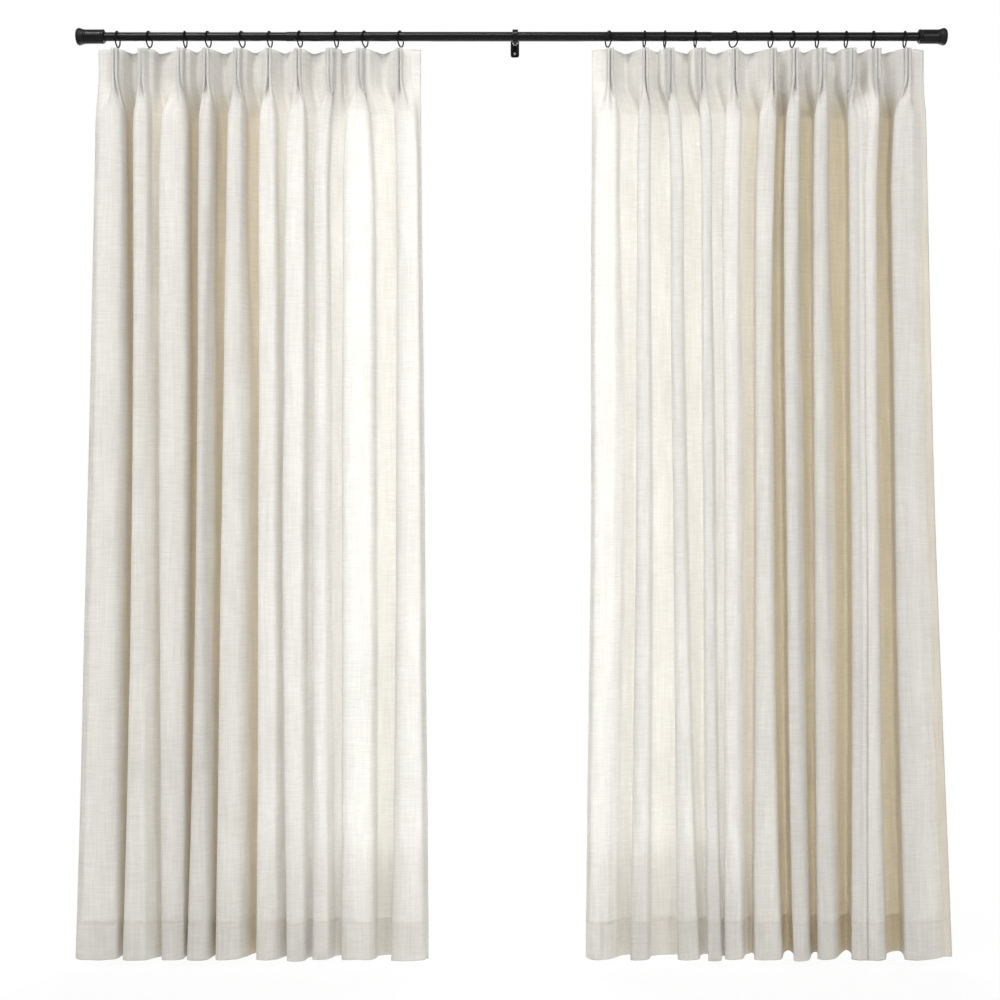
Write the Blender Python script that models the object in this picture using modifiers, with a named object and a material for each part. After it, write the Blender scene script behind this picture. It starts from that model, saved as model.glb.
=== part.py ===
"""A pair of pinch-pleated curtain panels on a telescoping rod.

The rod is a centre tube with two inner tubes that slide out of it. Each end
has a screw jack: turning the collar drives a rubber foot out against the side
wall. A bracket screwed to the back wall holds the middle of the rod. Each
panel hangs by wire hooks from rings that slide along the rod.

Metres, +Z up. X runs along the rod and +Y points at the back wall. The origin
is on the back face of the bracket's wall plate, at the height of the rod.
"""

import math

import bmesh
import bpy
from mathutils import Euler, Vector

# Clearance between pieces that touch or slide on each other
GAP = 0.0003

# Rod
ROD_SPAN = 2.341
ROD_MIDDLE_X = -0.010
WALL_DISTANCE = 0.090
CENTRE_TUBE_LENGTH = 1.142
CENTRE_TUBE_SHIFT = -0.034
CENTRE_TUBE_RADIUS = 0.0127
CENTRE_TUBE_WALL = 0.0006
INNER_TUBE_WALL = 0.0008
TUBE_OVERLAP = 0.300

# Screw jack at each end
COLLAR_LENGTH = 0.0545
COLLAR_RADIUS = 0.01925
COLLAR_LIP = 0.008
FOOT_LENGTH = 0.0165
FOOT_RADIUS = 0.0230
FOOT_NECK_RADIUS = 0.0200
FOOT_STAND_OFF = 0.0045
FOOT_SOCKET_DEPTH = 0.010
SPINDLE_RADIUS = 0.0050
SPINDLE_LENGTH = 0.095
PLUG_DEPTH = 0.024
PLUG_FLANGE = 0.004
PLUG_FLANGE_RADIUS = 0.0145

# Centre bracket
PLATE_WIDTH = 0.0235
PLATE_HEIGHT = 0.068
PLATE_THICKNESS = 0.003
PLATE_CENTRE_Z = 0.004
PLATE_CORNER = 0.006
ARM_RADIUS = 0.005
ARM_BITE = 0.003
SADDLE_WIDTH = 0.015
SADDLE_RADIUS = 0.0190
SADDLE_ROUND = 0.0022
PLATE_SCREW_SPACING = 0.048
WALL_SCREW_RADIUS = 0.0020
WALL_SCREW_LENGTH = 0.035
WALL_SCREW_HEAD_RADIUS = 0.0040
WALL_SCREW_CROWN_RADIUS = 0.0030
WALL_SCREW_HEAD_HEIGHT = 0.0022
CLAMP_SCREW_RADIUS = 0.0022
CLAMP_SCREW_HEAD_RADIUS = 0.0035
CLAMP_SCREW_HEAD_HEIGHT = 0.003

# Rings: the first step is from the collar to the outermost ring, the others
# from ring to ring towards the middle, each with its own turn about Z
RING_BORE = 0.0381
RING_WIRE = 0.0032
EYELET_RADIUS = 0.0022
EYELET_WIRE = 0.0016
LEFT_RING_STEPS = (0.034, 0.085, 0.097, 0.062, 0.091, 0.075, 0.081, 0.098, 0.077, 0.096)
LEFT_RING_TURNS = (-4, -10, -2, -12, -14, -10, -12, -10, -19, -19)
RIGHT_RING_STEPS = (0.036, 0.085, 0.073, 0.078, 0.066, 0.059, 0.100, 0.103, 0.082, 0.055, 0.097)
RIGHT_RING_TURNS = (-3, 1, 0, 1, 9, 9, 27, 2, 2, 5, 19)

# Hooks
HOOK_WIRE = 0.0016
HOOK_LENGTH = 0.042
HOOK_TIP = 0.0055
HOOK_BEND = 0.0024
HOOK_PIN_BEND = 0.0014
HOOK_PIN = 0.024

# Panels
PANEL_DROP = 2.440
PANEL_THICKNESS = 0.0011
HEADING_DROP = 0.005
HEADING_DEPTH = 0.076
PANEL_MARGIN = 0.050
PANEL_OUTER_FLARE = 0.058
PANEL_INNER_FLARE = 0.021
PLEAT_HALF_WIDTH = 0.003
HEADING_BOW = 0.038
FOLD_FRONT_Y = -0.040
FOLD_DEPTH = 0.070
FOLD_FRONT_SHARE = 0.44
FOLD_SETTLES = 0.30
FOLD_COLUMNS = 4
FOLD_ROWS = 4

# Roundness of the parts
TURNED_STEPS = 24
RING_SEGMENTS = 16
RING_SIDES = 6
EYELET_SEGMENTS = 8
EYELET_SIDES = 5

# Follow from the sizes above
INNER_TUBE_RADIUS = CENTRE_TUBE_RADIUS - CENTRE_TUBE_WALL - GAP
ROD_Y = -WALL_DISTANCE
CENTRE_TUBE_X = ROD_MIDDLE_X + CENTRE_TUBE_SHIFT
PIN_Y = -HOOK_BEND - 2.0 * HOOK_PIN_BEND
PLEAT_Y = PIN_Y - HOOK_WIRE / 2.0 - GAP - PANEL_THICKNESS / 2.0

STEEL_BLACK = ("black_steel", (0.012, 0.012, 0.012), 0.42, 0.9)
STEEL_BARE = ("bare_steel", (0.55, 0.55, 0.54), 0.35, 1.0)
RUBBER = ("black_rubber", (0.015, 0.015, 0.015), 0.75, 0.0)
PLASTIC = ("black_plastic", (0.02, 0.02, 0.02), 0.5, 0.0)
LINEN = ("linen", (0.74, 0.72, 0.67), 0.9, 0.0)


def clear_scene():
    """Remove what the file starts with."""
    for obj in list(bpy.data.objects):
        bpy.data.objects.remove(obj, do_unlink=True)


def make_collection(name):
    """A new collection in the scene."""
    collection = bpy.data.collections.new(name)
    bpy.context.scene.collection.children.link(collection)
    return collection


def make_material(spec):
    """A Principled material, made once for each name."""
    name, colour, roughness, metallic = spec
    material = bpy.data.materials.get(name)
    if material is None:
        material = bpy.data.materials.new(name)
        material.use_nodes = True
        shader = material.node_tree.nodes["Principled BSDF"]
        shader.inputs["Base Color"].default_value = (*colour, 1.0)
        shader.inputs["Roughness"].default_value = roughness
        shader.inputs["Metallic"].default_value = metallic
    return material


def add_part(name, data, spec, location=(0.0, 0.0, 0.0), rotation=(0.0, 0.0, 0.0)):
    """Put a mesh or curve in the parts' collection as a named object."""
    obj = bpy.data.objects.new(name, data)
    obj.location = location
    obj.rotation_euler = rotation
    if not data.materials:
        data.materials.append(make_material(spec))
    PARTS.objects.link(obj)
    return obj


def add_cutter(name, mesh, location=(0.0, 0.0, 0.0), rotation=(0.0, 0.0, 0.0)):
    """An object that only cuts or joins another."""
    obj = bpy.data.objects.new(name, mesh)
    obj.location = location
    obj.rotation_euler = rotation
    obj.hide_render = True
    obj.display_type = "WIRE"
    CUTTERS.objects.link(obj)
    return obj


def mesh_from(name, build):
    """A mesh filled by a function that gets an empty bmesh."""
    mesh = bpy.data.meshes.new(name)
    bm = bmesh.new()
    build(bm)
    bmesh.ops.recalc_face_normals(bm, faces=bm.faces)
    bm.to_mesh(mesh)
    bm.free()
    return mesh


def shade_round(mesh):
    """Smooth faces with sharp edges kept."""
    mesh.shade_smooth()
    mesh.set_sharp_from_angle(angle=math.radians(35))


def boolean(obj, other, operation):
    """Cut or join one object with another."""
    modifier = obj.modifiers.new(operation.lower(), "BOOLEAN")
    modifier.operation = operation
    modifier.solver = "EXACT"
    modifier.object = other
    return modifier


def cylinder_mesh(name, radius, length):
    """A capped cylinder along Z, centred on the origin."""
    return mesh_from(name, lambda bm: bmesh.ops.create_cone(
        bm, cap_ends=True, segments=TURNED_STEPS, radius1=radius, radius2=radius, depth=length))


def turned(name, profile, spec, location, axis_rotation):
    """Turn a closed (radius, height) profile, given down its outer side, about Z."""
    mesh = bpy.data.meshes.new(name)
    bm = bmesh.new()
    vertices = [bm.verts.new((radius, 0.0, height)) for radius, height in profile]
    closed = all(radius > 0.0 for radius, _ in profile)
    for first, second in zip(vertices, vertices[1:]):
        bm.edges.new((first, second))
    if closed:
        bm.edges.new((vertices[-1], vertices[0]))
    bm.to_mesh(mesh)
    bm.free()
    obj = add_part(name, mesh, spec, location, axis_rotation)
    screw = obj.modifiers.new("turn", "SCREW")
    screw.axis = "Z"
    screw.steps = TURNED_STEPS
    screw.render_steps = TURNED_STEPS
    screw.use_merge_vertices = True
    screw.merge_threshold = 0.00001
    screw.use_smooth_shade = True
    return obj


def tube(name, radius, wall, x_from, x_to, spec):
    """A plain round tube along X on the rod's axis, its origin at x_from."""
    length = x_to - x_from
    profile = (
        (radius, length),
        (radius, 0.0),
        (radius - wall, 0.0),
        (radius - wall, length),
    )
    return turned(name, profile, spec, (x_from, ROD_Y, 0.0), (0.0, math.pi / 2.0, 0.0))


def along_rod(side):
    """Rotation that points a turned piece's +Z outwards at the left or right end."""
    return (0.0, side * math.pi / 2.0, 0.0)


def collar_inner_end(side):
    """X of the collar's end that faces the middle of the rod."""
    end = ROD_SPAN / 2.0 - FOOT_LENGTH - FOOT_STAND_OFF - COLLAR_LENGTH
    return ROD_MIDDLE_X + side * end


def tube_end(side):
    """X where an inner tube stops, inside its collar."""
    return collar_inner_end(side) + side * COLLAR_LIP


def make_rod():
    """The centre tube and the two inner tubes that slide out of it."""
    half = CENTRE_TUBE_LENGTH / 2.0
    tube("centre_tube", CENTRE_TUBE_RADIUS, CENTRE_TUBE_WALL,
         CENTRE_TUBE_X - half, CENTRE_TUBE_X + half, STEEL_BLACK)
    tube("left_inner_tube", INNER_TUBE_RADIUS, INNER_TUBE_WALL,
         tube_end(-1), CENTRE_TUBE_X - half + TUBE_OVERLAP, STEEL_BLACK)
    tube("right_inner_tube", INNER_TUBE_RADIUS, INNER_TUBE_WALL,
         CENTRE_TUBE_X + half - TUBE_OVERLAP, tube_end(1), STEEL_BLACK)


def make_end_plug(side, name):
    """The flanged bush in the tube's end that the collar turns on."""
    bore = SPINDLE_RADIUS + GAP
    barrel = INNER_TUBE_RADIUS - INNER_TUBE_WALL - GAP
    profile = (
        (PLUG_FLANGE_RADIUS, GAP + PLUG_FLANGE),
        (PLUG_FLANGE_RADIUS, GAP),
        (barrel, GAP),
        (barrel, -PLUG_DEPTH),
        (bore, -PLUG_DEPTH),
        (bore, GAP + PLUG_FLANGE),
    )
    return turned(name, profile, PLASTIC, (tube_end(side), ROD_Y, 0.0), along_rod(side))


def make_collar(side, name):
    """The round nut that turns on the plug's flange and drives the spindle."""
    chamfer = 0.0012
    chamber_end = COLLAR_LIP + 2.0 * GAP + PLUG_FLANGE + GAP
    profile = (
        (COLLAR_RADIUS - chamfer, COLLAR_LENGTH),
        (COLLAR_RADIUS, COLLAR_LENGTH - chamfer),
        (COLLAR_RADIUS, chamfer),
        (COLLAR_RADIUS - chamfer, 0.0),
        (INNER_TUBE_RADIUS + GAP, 0.0),
        (INNER_TUBE_RADIUS + GAP, COLLAR_LIP),
        (PLUG_FLANGE_RADIUS + GAP, COLLAR_LIP),
        (PLUG_FLANGE_RADIUS + GAP, chamber_end),
        (SPINDLE_RADIUS + GAP, chamber_end),
        (SPINDLE_RADIUS + GAP, COLLAR_LENGTH),
    )
    return turned(name, profile, STEEL_BLACK, (collar_inner_end(side), ROD_Y, 0.0), along_rod(side))


def make_foot(side, name):
    """The flared rubber foot, with a socket for the spindle's end."""
    dome = 0.0008
    face_radius = FOOT_RADIUS - 0.0025
    profile = (
        (0.0, FOOT_LENGTH),
        (face_radius, FOOT_LENGTH),
        (FOOT_RADIUS, FOOT_LENGTH - 2.0 * dome),
        (FOOT_RADIUS, FOOT_LENGTH - 6.0 * dome),
        (FOOT_NECK_RADIUS, dome),
        (FOOT_NECK_RADIUS - dome, 0.0),
        (SPINDLE_RADIUS + GAP, 0.0),
        (SPINDLE_RADIUS + GAP, FOOT_SOCKET_DEPTH),
        (0.0, FOOT_SOCKET_DEPTH),
    )
    x = collar_inner_end(side) + side * (COLLAR_LENGTH + FOOT_STAND_OFF)
    return turned(name, profile, RUBBER, (x, ROD_Y, 0.0), along_rod(side))


def make_spindle(side, name):
    """The threaded rod from the foot's socket back through collar and plug."""
    chamfer = 0.0008
    tip = COLLAR_LENGTH + FOOT_STAND_OFF + FOOT_SOCKET_DEPTH - GAP
    tail = tip - SPINDLE_LENGTH
    profile = (
        (0.0, tip),
        (SPINDLE_RADIUS - chamfer, tip),
        (SPINDLE_RADIUS, tip - chamfer),
        (SPINDLE_RADIUS, tail + chamfer),
        (SPINDLE_RADIUS - chamfer, tail),
        (0.0, tail),
    )
    return turned(name, profile, STEEL_BARE, (collar_inner_end(side), ROD_Y, 0.0), along_rod(side))


def make_end(side, word):
    """All the pieces of one end's screw jack."""
    make_end_plug(side, f"{word}_end_plug")
    make_collar(side, f"{word}_collar")
    make_foot(side, f"{word}_foot")
    make_spindle(side, f"{word}_spindle")


def plate_screw_heights():
    """Z of the lower and the upper wall screw."""
    return (PLATE_CENTRE_Z - PLATE_SCREW_SPACING / 2.0, PLATE_CENTRE_Z + PLATE_SCREW_SPACING / 2.0)


def make_wall_plate():
    """The plate with rounded corners, a hole for each screw and one for the arm."""

    def build(bm):
        bmesh.ops.create_cube(bm, size=1.0)
        bmesh.ops.scale(bm, verts=bm.verts, vec=(PLATE_WIDTH, PLATE_THICKNESS, PLATE_HEIGHT))
        corners = [e for e in bm.edges if abs(e.verts[0].co.y - e.verts[1].co.y) > PLATE_THICKNESS / 2.0]
        bmesh.ops.bevel(bm, geom=corners, offset=PLATE_CORNER, affect="EDGES", segments=5, profile=0.5,
                        material=-1)

    mesh = mesh_from("bracket_plate", build)
    plate = add_part("bracket_plate", mesh, STEEL_BLACK, (0.0, -PLATE_THICKNESS / 2.0, PLATE_CENTRE_Z))
    holes = [(z, WALL_SCREW_RADIUS + GAP) for z in plate_screw_heights()]
    holes.append((0.0, ARM_RADIUS + GAP))
    for index, (z, radius) in enumerate(holes):
        mesh = cylinder_mesh(f"plate_hole_{index}", radius, 4.0 * PLATE_THICKNESS)
        cutter = add_cutter(f"plate_hole_{index}", mesh, (0.0, 0.0, z), (math.pi / 2.0, 0.0, 0.0))
        boolean(plate, cutter, "DIFFERENCE")
    return plate


def make_bracket_arm():
    """The saddle ring round the rod, in one piece with its arm to the plate."""
    half = SADDLE_WIDTH / 2.0
    shoulder = SADDLE_RADIUS - SADDLE_ROUND
    bore = CENTRE_TUBE_RADIUS + GAP
    profile = (
        (shoulder, half),
        (SADDLE_RADIUS, half - SADDLE_ROUND),
        (SADDLE_RADIUS, SADDLE_ROUND - half),
        (shoulder, -half),
        (bore, -half),
        (bore, half),
    )
    saddle = turned("bracket_arm", profile, STEEL_BLACK, (0.0, ROD_Y, 0.0), (0.0, math.pi / 2.0, 0.0))
    root_y = -GAP
    start_y = ROD_Y + SADDLE_RADIUS - ARM_BITE
    bar = cylinder_mesh("bracket_bar", ARM_RADIUS, root_y - start_y)
    joined = add_cutter("bracket_bar", bar, (0.0, (root_y + start_y) / 2.0, 0.0), (math.pi / 2.0, 0.0, 0.0))
    boolean(saddle, joined, "UNION")
    mesh = cylinder_mesh("clamp_hole", CLAMP_SCREW_RADIUS + GAP, SADDLE_RADIUS)
    hole = add_cutter("clamp_hole", mesh, (0.0, ROD_Y, -SADDLE_RADIUS))
    boolean(saddle, hole, "DIFFERENCE")
    return saddle


def make_clamp_screw():
    """The screw under the saddle that grips the centre tube."""
    top = -CENTRE_TUBE_RADIUS - GAP
    seat = -SADDLE_RADIUS - GAP
    bottom = seat - CLAMP_SCREW_HEAD_HEIGHT
    profile = (
        (0.0, top),
        (CLAMP_SCREW_RADIUS, top),
        (CLAMP_SCREW_RADIUS, seat),
        (CLAMP_SCREW_HEAD_RADIUS, seat),
        (CLAMP_SCREW_HEAD_RADIUS, bottom),
        (0.0, bottom),
    )
    return turned("bracket_clamp_screw", profile, STEEL_BLACK, (0.0, ROD_Y, 0.0), (0.0, 0.0, 0.0))


def make_wall_screws():
    """The two screws that hold the plate to the wall."""
    for word, z in zip(("lower", "upper"), plate_screw_heights()):
        tip = WALL_SCREW_LENGTH - PLATE_THICKNESS - WALL_SCREW_RADIUS
        face = -GAP
        profile = (
            (0.0, PLATE_THICKNESS + tip + WALL_SCREW_RADIUS),
            (WALL_SCREW_RADIUS, PLATE_THICKNESS + tip),
            (WALL_SCREW_RADIUS, face),
            (WALL_SCREW_HEAD_RADIUS, face),
            (WALL_SCREW_CROWN_RADIUS, face - WALL_SCREW_HEAD_HEIGHT),
            (0.0, face - WALL_SCREW_HEAD_HEIGHT),
        )
        turned(f"{word}_wall_screw", profile, STEEL_BARE, (0.0, -PLATE_THICKNESS, z),
               (-math.pi / 2.0, 0.0, 0.0))


def make_bracket():
    """The centre bracket."""
    make_wall_plate()
    make_bracket_arm()
    make_clamp_screw()
    make_wall_screws()


def ring_radius():
    """Radius of the ring at the middle of its wire."""
    return (RING_BORE + RING_WIRE) / 2.0


def eyelet_drop():
    """From the ring's centre down to the centre of its eyelet."""
    return ring_radius() + RING_WIRE / 2.0 + EYELET_RADIUS - EYELET_WIRE / 4.0


def torus_mesh(name, radius, wire_radius, segments, sides, across):
    """A torus with its hole along X or, if across, along Y."""
    bpy.ops.mesh.primitive_torus_add(
        major_segments=segments, minor_segments=sides, major_radius=radius, minor_radius=wire_radius)
    obj = bpy.context.active_object
    mesh = obj.data
    mesh.name = name
    turn = Euler((math.pi / 2.0, 0.0, 0.0)) if across else Euler((0.0, math.pi / 2.0, 0.0))
    mesh.transform(turn.to_matrix().to_4x4())
    bpy.data.objects.remove(obj, do_unlink=True)
    return mesh


def make_ring_mesh():
    """One ring with its eyelet, its origin at the ring's centre."""
    hoop = torus_mesh("ring_blank", ring_radius(), RING_WIRE / 2.0, RING_SEGMENTS, RING_SIDES, False)
    loop = torus_mesh("eyelet_blank", EYELET_RADIUS, EYELET_WIRE / 2.0, EYELET_SEGMENTS, EYELET_SIDES, True)
    ring = add_cutter("ring_blank", hoop)
    eyelet = add_cutter("eyelet_blank", loop, (0.0, 0.0, -eyelet_drop()))
    boolean(ring, eyelet, "UNION")
    bpy.context.view_layer.update()
    evaluated = ring.evaluated_get(bpy.context.evaluated_depsgraph_get())
    mesh = bpy.data.meshes.new_from_object(evaluated)
    mesh.name = "curtain_ring"
    mesh.materials.clear()
    mesh.materials.append(make_material(STEEL_BLACK))
    shade_round(mesh)
    bpy.data.objects.remove(ring, do_unlink=True)
    bpy.data.objects.remove(eyelet, do_unlink=True)
    return mesh


def arc(centre_y, centre_z, radius, start, stop, count):
    """Points of an arc in the YZ plane, its angles in degrees from +Y."""
    points = []
    for index in range(count):
        angle = math.radians(start + (stop - start) * index / (count - 1))
        points.append((0.0, centre_y + radius * math.cos(angle), centre_z + radius * math.sin(angle)))
    return points


def hook_points():
    """The hook's wire in its ring's frame, from its tip over the eyelet to its pin."""
    eyelet_floor = -eyelet_drop() - EYELET_RADIUS + EYELET_WIRE / 2.0
    top_z = eyelet_floor + GAP + HOOK_WIRE / 2.0 - HOOK_BEND
    low_z = top_z - HOOK_LENGTH
    points = [(0.0, HOOK_BEND, top_z - HOOK_TIP)]
    points += arc(0.0, top_z, HOOK_BEND, 0.0, 180.0, 5)
    points += arc(-HOOK_BEND - HOOK_PIN_BEND, low_z, HOOK_PIN_BEND, 360.0, 180.0, 3)
    points.append((0.0, PIN_Y, low_z + HOOK_PIN))
    return points


def make_hook_mesh():
    """One drapery hook as a mesh, in its ring's frame."""
    curve = bpy.data.curves.new("drapery_hook", "CURVE")
    curve.dimensions = "3D"
    curve.bevel_depth = HOOK_WIRE / 2.0
    curve.bevel_resolution = 1
    curve.use_fill_caps = True
    points = hook_points()
    spline = curve.splines.new("POLY")
    spline.points.add(len(points) - 1)
    for target, point in zip(spline.points, points):
        target.co = (*point, 1.0)
    obj = bpy.data.objects.new("hook_blank", curve)
    CUTTERS.objects.link(obj)
    bpy.context.view_layer.update()
    evaluated = obj.evaluated_get(bpy.context.evaluated_depsgraph_get())
    mesh = bpy.data.meshes.new_from_object(evaluated)
    mesh.name = "drapery_hook"
    bm = bmesh.new()
    bm.from_mesh(mesh)
    bmesh.ops.remove_doubles(bm, verts=bm.verts, dist=0.00001)
    bm.to_mesh(mesh)
    bm.free()
    mesh.materials.clear()
    mesh.materials.append(make_material(STEEL_BARE))
    shade_round(mesh)
    bpy.data.objects.remove(obj, do_unlink=True)
    return mesh


def ring_places(side, steps):
    """X of each ring, from the outermost to the innermost."""
    places = []
    x = collar_inner_end(side)
    for step in steps:
        x -= side * step
        places.append(x)
    return places


def ring_height(x):
    """Z of the centre of a ring that hangs on the tube found at x."""
    on_centre_tube = abs(x - CENTRE_TUBE_X) < (CENTRE_TUBE_LENGTH + RING_BORE) / 2.0
    radius = CENTRE_TUBE_RADIUS if on_centre_tube else INNER_TUBE_RADIUS
    return radius + GAP - RING_BORE / 2.0


def make_rings(word, places, turns, ring_mesh, hook_mesh):
    """The rings of one panel, each with the hook that hangs in it."""
    for number, (x, turn) in enumerate(zip(places, turns), start=1):
        location = (x, ROD_Y, ring_height(x))
        rotation = (0.0, 0.0, math.radians(turn))
        add_part(f"{word}_ring_{number:02d}", ring_mesh, STEEL_BLACK, location, rotation)
        add_part(f"{word}_hook_{number:02d}", hook_mesh, STEEL_BARE, location, rotation)


def heading_top():
    """Z of the panels' top edge, a little under the eyelets on the centre tube."""
    ring_z = CENTRE_TUBE_RADIUS + GAP - RING_BORE / 2.0
    return ring_z - eyelet_drop() - HEADING_DROP


def panel_rows():
    """How far down each row of the panel is: the heading stays straight, the rest spreads out."""
    rows = [0.0]
    for row in range(FOLD_ROWS):
        share = (row / (FOLD_ROWS - 1)) ** 2.0
        rows.append(HEADING_DEPTH + (PANEL_DROP - HEADING_DEPTH) * share)
    return rows


def smooth_step(value):
    """0 to 1 with level ends."""
    value = min(max(value, 0.0), 1.0)
    return value * value * (3.0 - 2.0 * value)


def heading_outline(places):
    """The heading seen from above: a flat pleat at each ring, bowed back between."""
    pleat_y = ROD_Y + PLEAT_Y
    outline = [Vector((places[0] - PANEL_MARGIN, pleat_y, 0.0))]
    for index, x in enumerate(places):
        outline.append(Vector((x - PLEAT_HALF_WIDTH, pleat_y, 0.0)))
        outline.append(Vector((x + PLEAT_HALF_WIDTH, pleat_y, 0.0)))
        if index + 1 < len(places):
            start = x + PLEAT_HALF_WIDTH
            width = places[index + 1] - PLEAT_HALF_WIDTH - start
            for column in range(1, FOLD_COLUMNS + 1):
                share = column / (FOLD_COLUMNS + 1)
                bow = HEADING_BOW * math.sin(math.pi * share) ** 2
                outline.append(Vector((start + width * share, pleat_y + bow, 0.0)))
    outline.append(Vector((places[-1] + PANEL_MARGIN, pleat_y, 0.0)))
    return outline


def hem_outline(places, left_flare, right_flare):
    """The hem seen from above: one deep fold for each ring, evenly spread."""
    left = places[0] - PANEL_MARGIN - left_flare
    right = places[-1] + PANEL_MARGIN + right_flare
    pitch = (right - left) / len(places)
    front = ROD_Y + FOLD_FRONT_Y
    half_front = pitch * FOLD_FRONT_SHARE / 2.0
    outline = [Vector((left, front, 0.0))]
    for index in range(len(places)):
        middle = left + pitch * (index + 0.5)
        outline.append(Vector((middle - half_front, front, 0.0)))
        outline.append(Vector((middle + half_front, front, 0.0)))
        if index + 1 < len(places):
            width = pitch - 2.0 * half_front
            for column in range(1, FOLD_COLUMNS + 1):
                share = column / (FOLD_COLUMNS + 1)
                bow = FOLD_DEPTH * math.sin(math.pi * share) ** 2
                outline.append(Vector((middle + half_front + width * share, front + bow, 0.0)))
    outline.append(Vector((right, front, 0.0)))
    return outline


def make_panel(name, places, left_flare, right_flare):
    """One curtain panel as a folded sheet, from its pleated heading to its hem."""
    heading = heading_outline(places)
    hem = hem_outline(places, left_flare, right_flare)

    def build(bm):
        rows = []
        for drop in panel_rows():
            share = drop / PANEL_DROP
            depth = smooth_step((drop - HEADING_DEPTH) / (FOLD_SETTLES * PANEL_DROP))
            corners = []
            for top, bottom in zip(heading, hem):
                x = top.x + (bottom.x - top.x) * share
                y = top.y + (bottom.y - top.y) * depth
                corners.append(bm.verts.new((x, y, heading_top() - drop)))
            rows.append(corners)
        edges = []
        for row in rows:
            edges.append([bm.edges.new(pair) for pair in zip(row, row[1:])])
        for upper, lower in zip(edges, edges[1:]):
            bmesh.ops.bridge_loops(bm, edges=upper + lower)

    panel = add_part(name, mesh_from(name, build), LINEN)
    solidify = panel.modifiers.new("thickness", "SOLIDIFY")
    solidify.thickness = PANEL_THICKNESS
    solidify.offset = 0.0
    return panel


def main():
    """Build every piece."""
    make_rod()
    make_end(-1, "left")
    make_end(1, "right")
    make_bracket()
    ring_mesh = make_ring_mesh()
    hook_mesh = make_hook_mesh()
    left = ring_places(-1, LEFT_RING_STEPS)
    right = ring_places(1, RIGHT_RING_STEPS)
    make_rings("left", left, LEFT_RING_TURNS, ring_mesh, hook_mesh)
    make_rings("right", right, RIGHT_RING_TURNS, ring_mesh, hook_mesh)
    make_panel("left_panel", sorted(left), PANEL_OUTER_FLARE, PANEL_INNER_FLARE)
    make_panel("right_panel", sorted(right), PANEL_INNER_FLARE, PANEL_OUTER_FLARE)


clear_scene()
PARTS = make_collection("curtains_on_rod")
CUTTERS = make_collection("cutters")
main()
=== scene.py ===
"""The looks of a pair of pinch-pleated linen curtains on a telescoping rod.

Everything is in metres in the part's own frame: X along the rod, +Y towards
the wall and +Z up, with the origin on the back of the bracket's wall plate.
"""

import math
from functools import partial

import bmesh
import bpy
from bpy.props import FloatProperty, FloatVectorProperty, PointerProperty
from mathutils import Matrix, Vector, noise


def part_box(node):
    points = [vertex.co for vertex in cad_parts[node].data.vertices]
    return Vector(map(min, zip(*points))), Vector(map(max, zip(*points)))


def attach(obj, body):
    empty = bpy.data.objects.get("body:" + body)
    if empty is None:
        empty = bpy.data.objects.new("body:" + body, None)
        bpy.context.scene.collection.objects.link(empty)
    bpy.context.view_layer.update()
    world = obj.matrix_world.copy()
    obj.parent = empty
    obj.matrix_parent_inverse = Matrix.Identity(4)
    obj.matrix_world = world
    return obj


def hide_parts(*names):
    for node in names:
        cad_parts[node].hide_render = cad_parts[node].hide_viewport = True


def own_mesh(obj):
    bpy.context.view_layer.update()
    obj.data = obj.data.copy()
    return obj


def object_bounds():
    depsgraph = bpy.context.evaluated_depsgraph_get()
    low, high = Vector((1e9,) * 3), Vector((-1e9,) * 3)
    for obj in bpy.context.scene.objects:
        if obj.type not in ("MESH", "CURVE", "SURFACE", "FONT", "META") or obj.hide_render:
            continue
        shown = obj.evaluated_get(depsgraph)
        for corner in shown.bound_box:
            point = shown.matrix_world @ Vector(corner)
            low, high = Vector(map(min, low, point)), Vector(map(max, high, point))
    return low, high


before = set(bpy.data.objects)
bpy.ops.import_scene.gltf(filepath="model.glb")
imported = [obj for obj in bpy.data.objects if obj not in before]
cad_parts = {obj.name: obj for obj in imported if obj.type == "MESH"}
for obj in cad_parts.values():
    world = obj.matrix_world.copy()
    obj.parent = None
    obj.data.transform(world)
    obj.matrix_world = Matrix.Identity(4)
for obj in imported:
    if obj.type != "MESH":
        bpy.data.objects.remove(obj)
CAD_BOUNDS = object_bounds()

bl_info = {
    "name": "Pleated curtains on a rod",
    "version": (1, 0, 0),
    "blender": (4, 5, 0),
    "location": "View3D > Sidebar > Curtains",
    "description": "Builds a telescoping rod with rings, hooks and two pinch-pleated linen panels",
    "category": "Object",
}

# The two ends and panels, each with its direction along X
SIDES = (("left", -1), ("right", 1))
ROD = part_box("centre_tube")
ROD_Y = (ROD[0].y + ROD[1].y) / 2.0
ROD_Z = (ROD[0].z + ROD[1].z) / 2.0
# Clearance between pieces that touch or slide on each other
GAP = 0.0003

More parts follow.
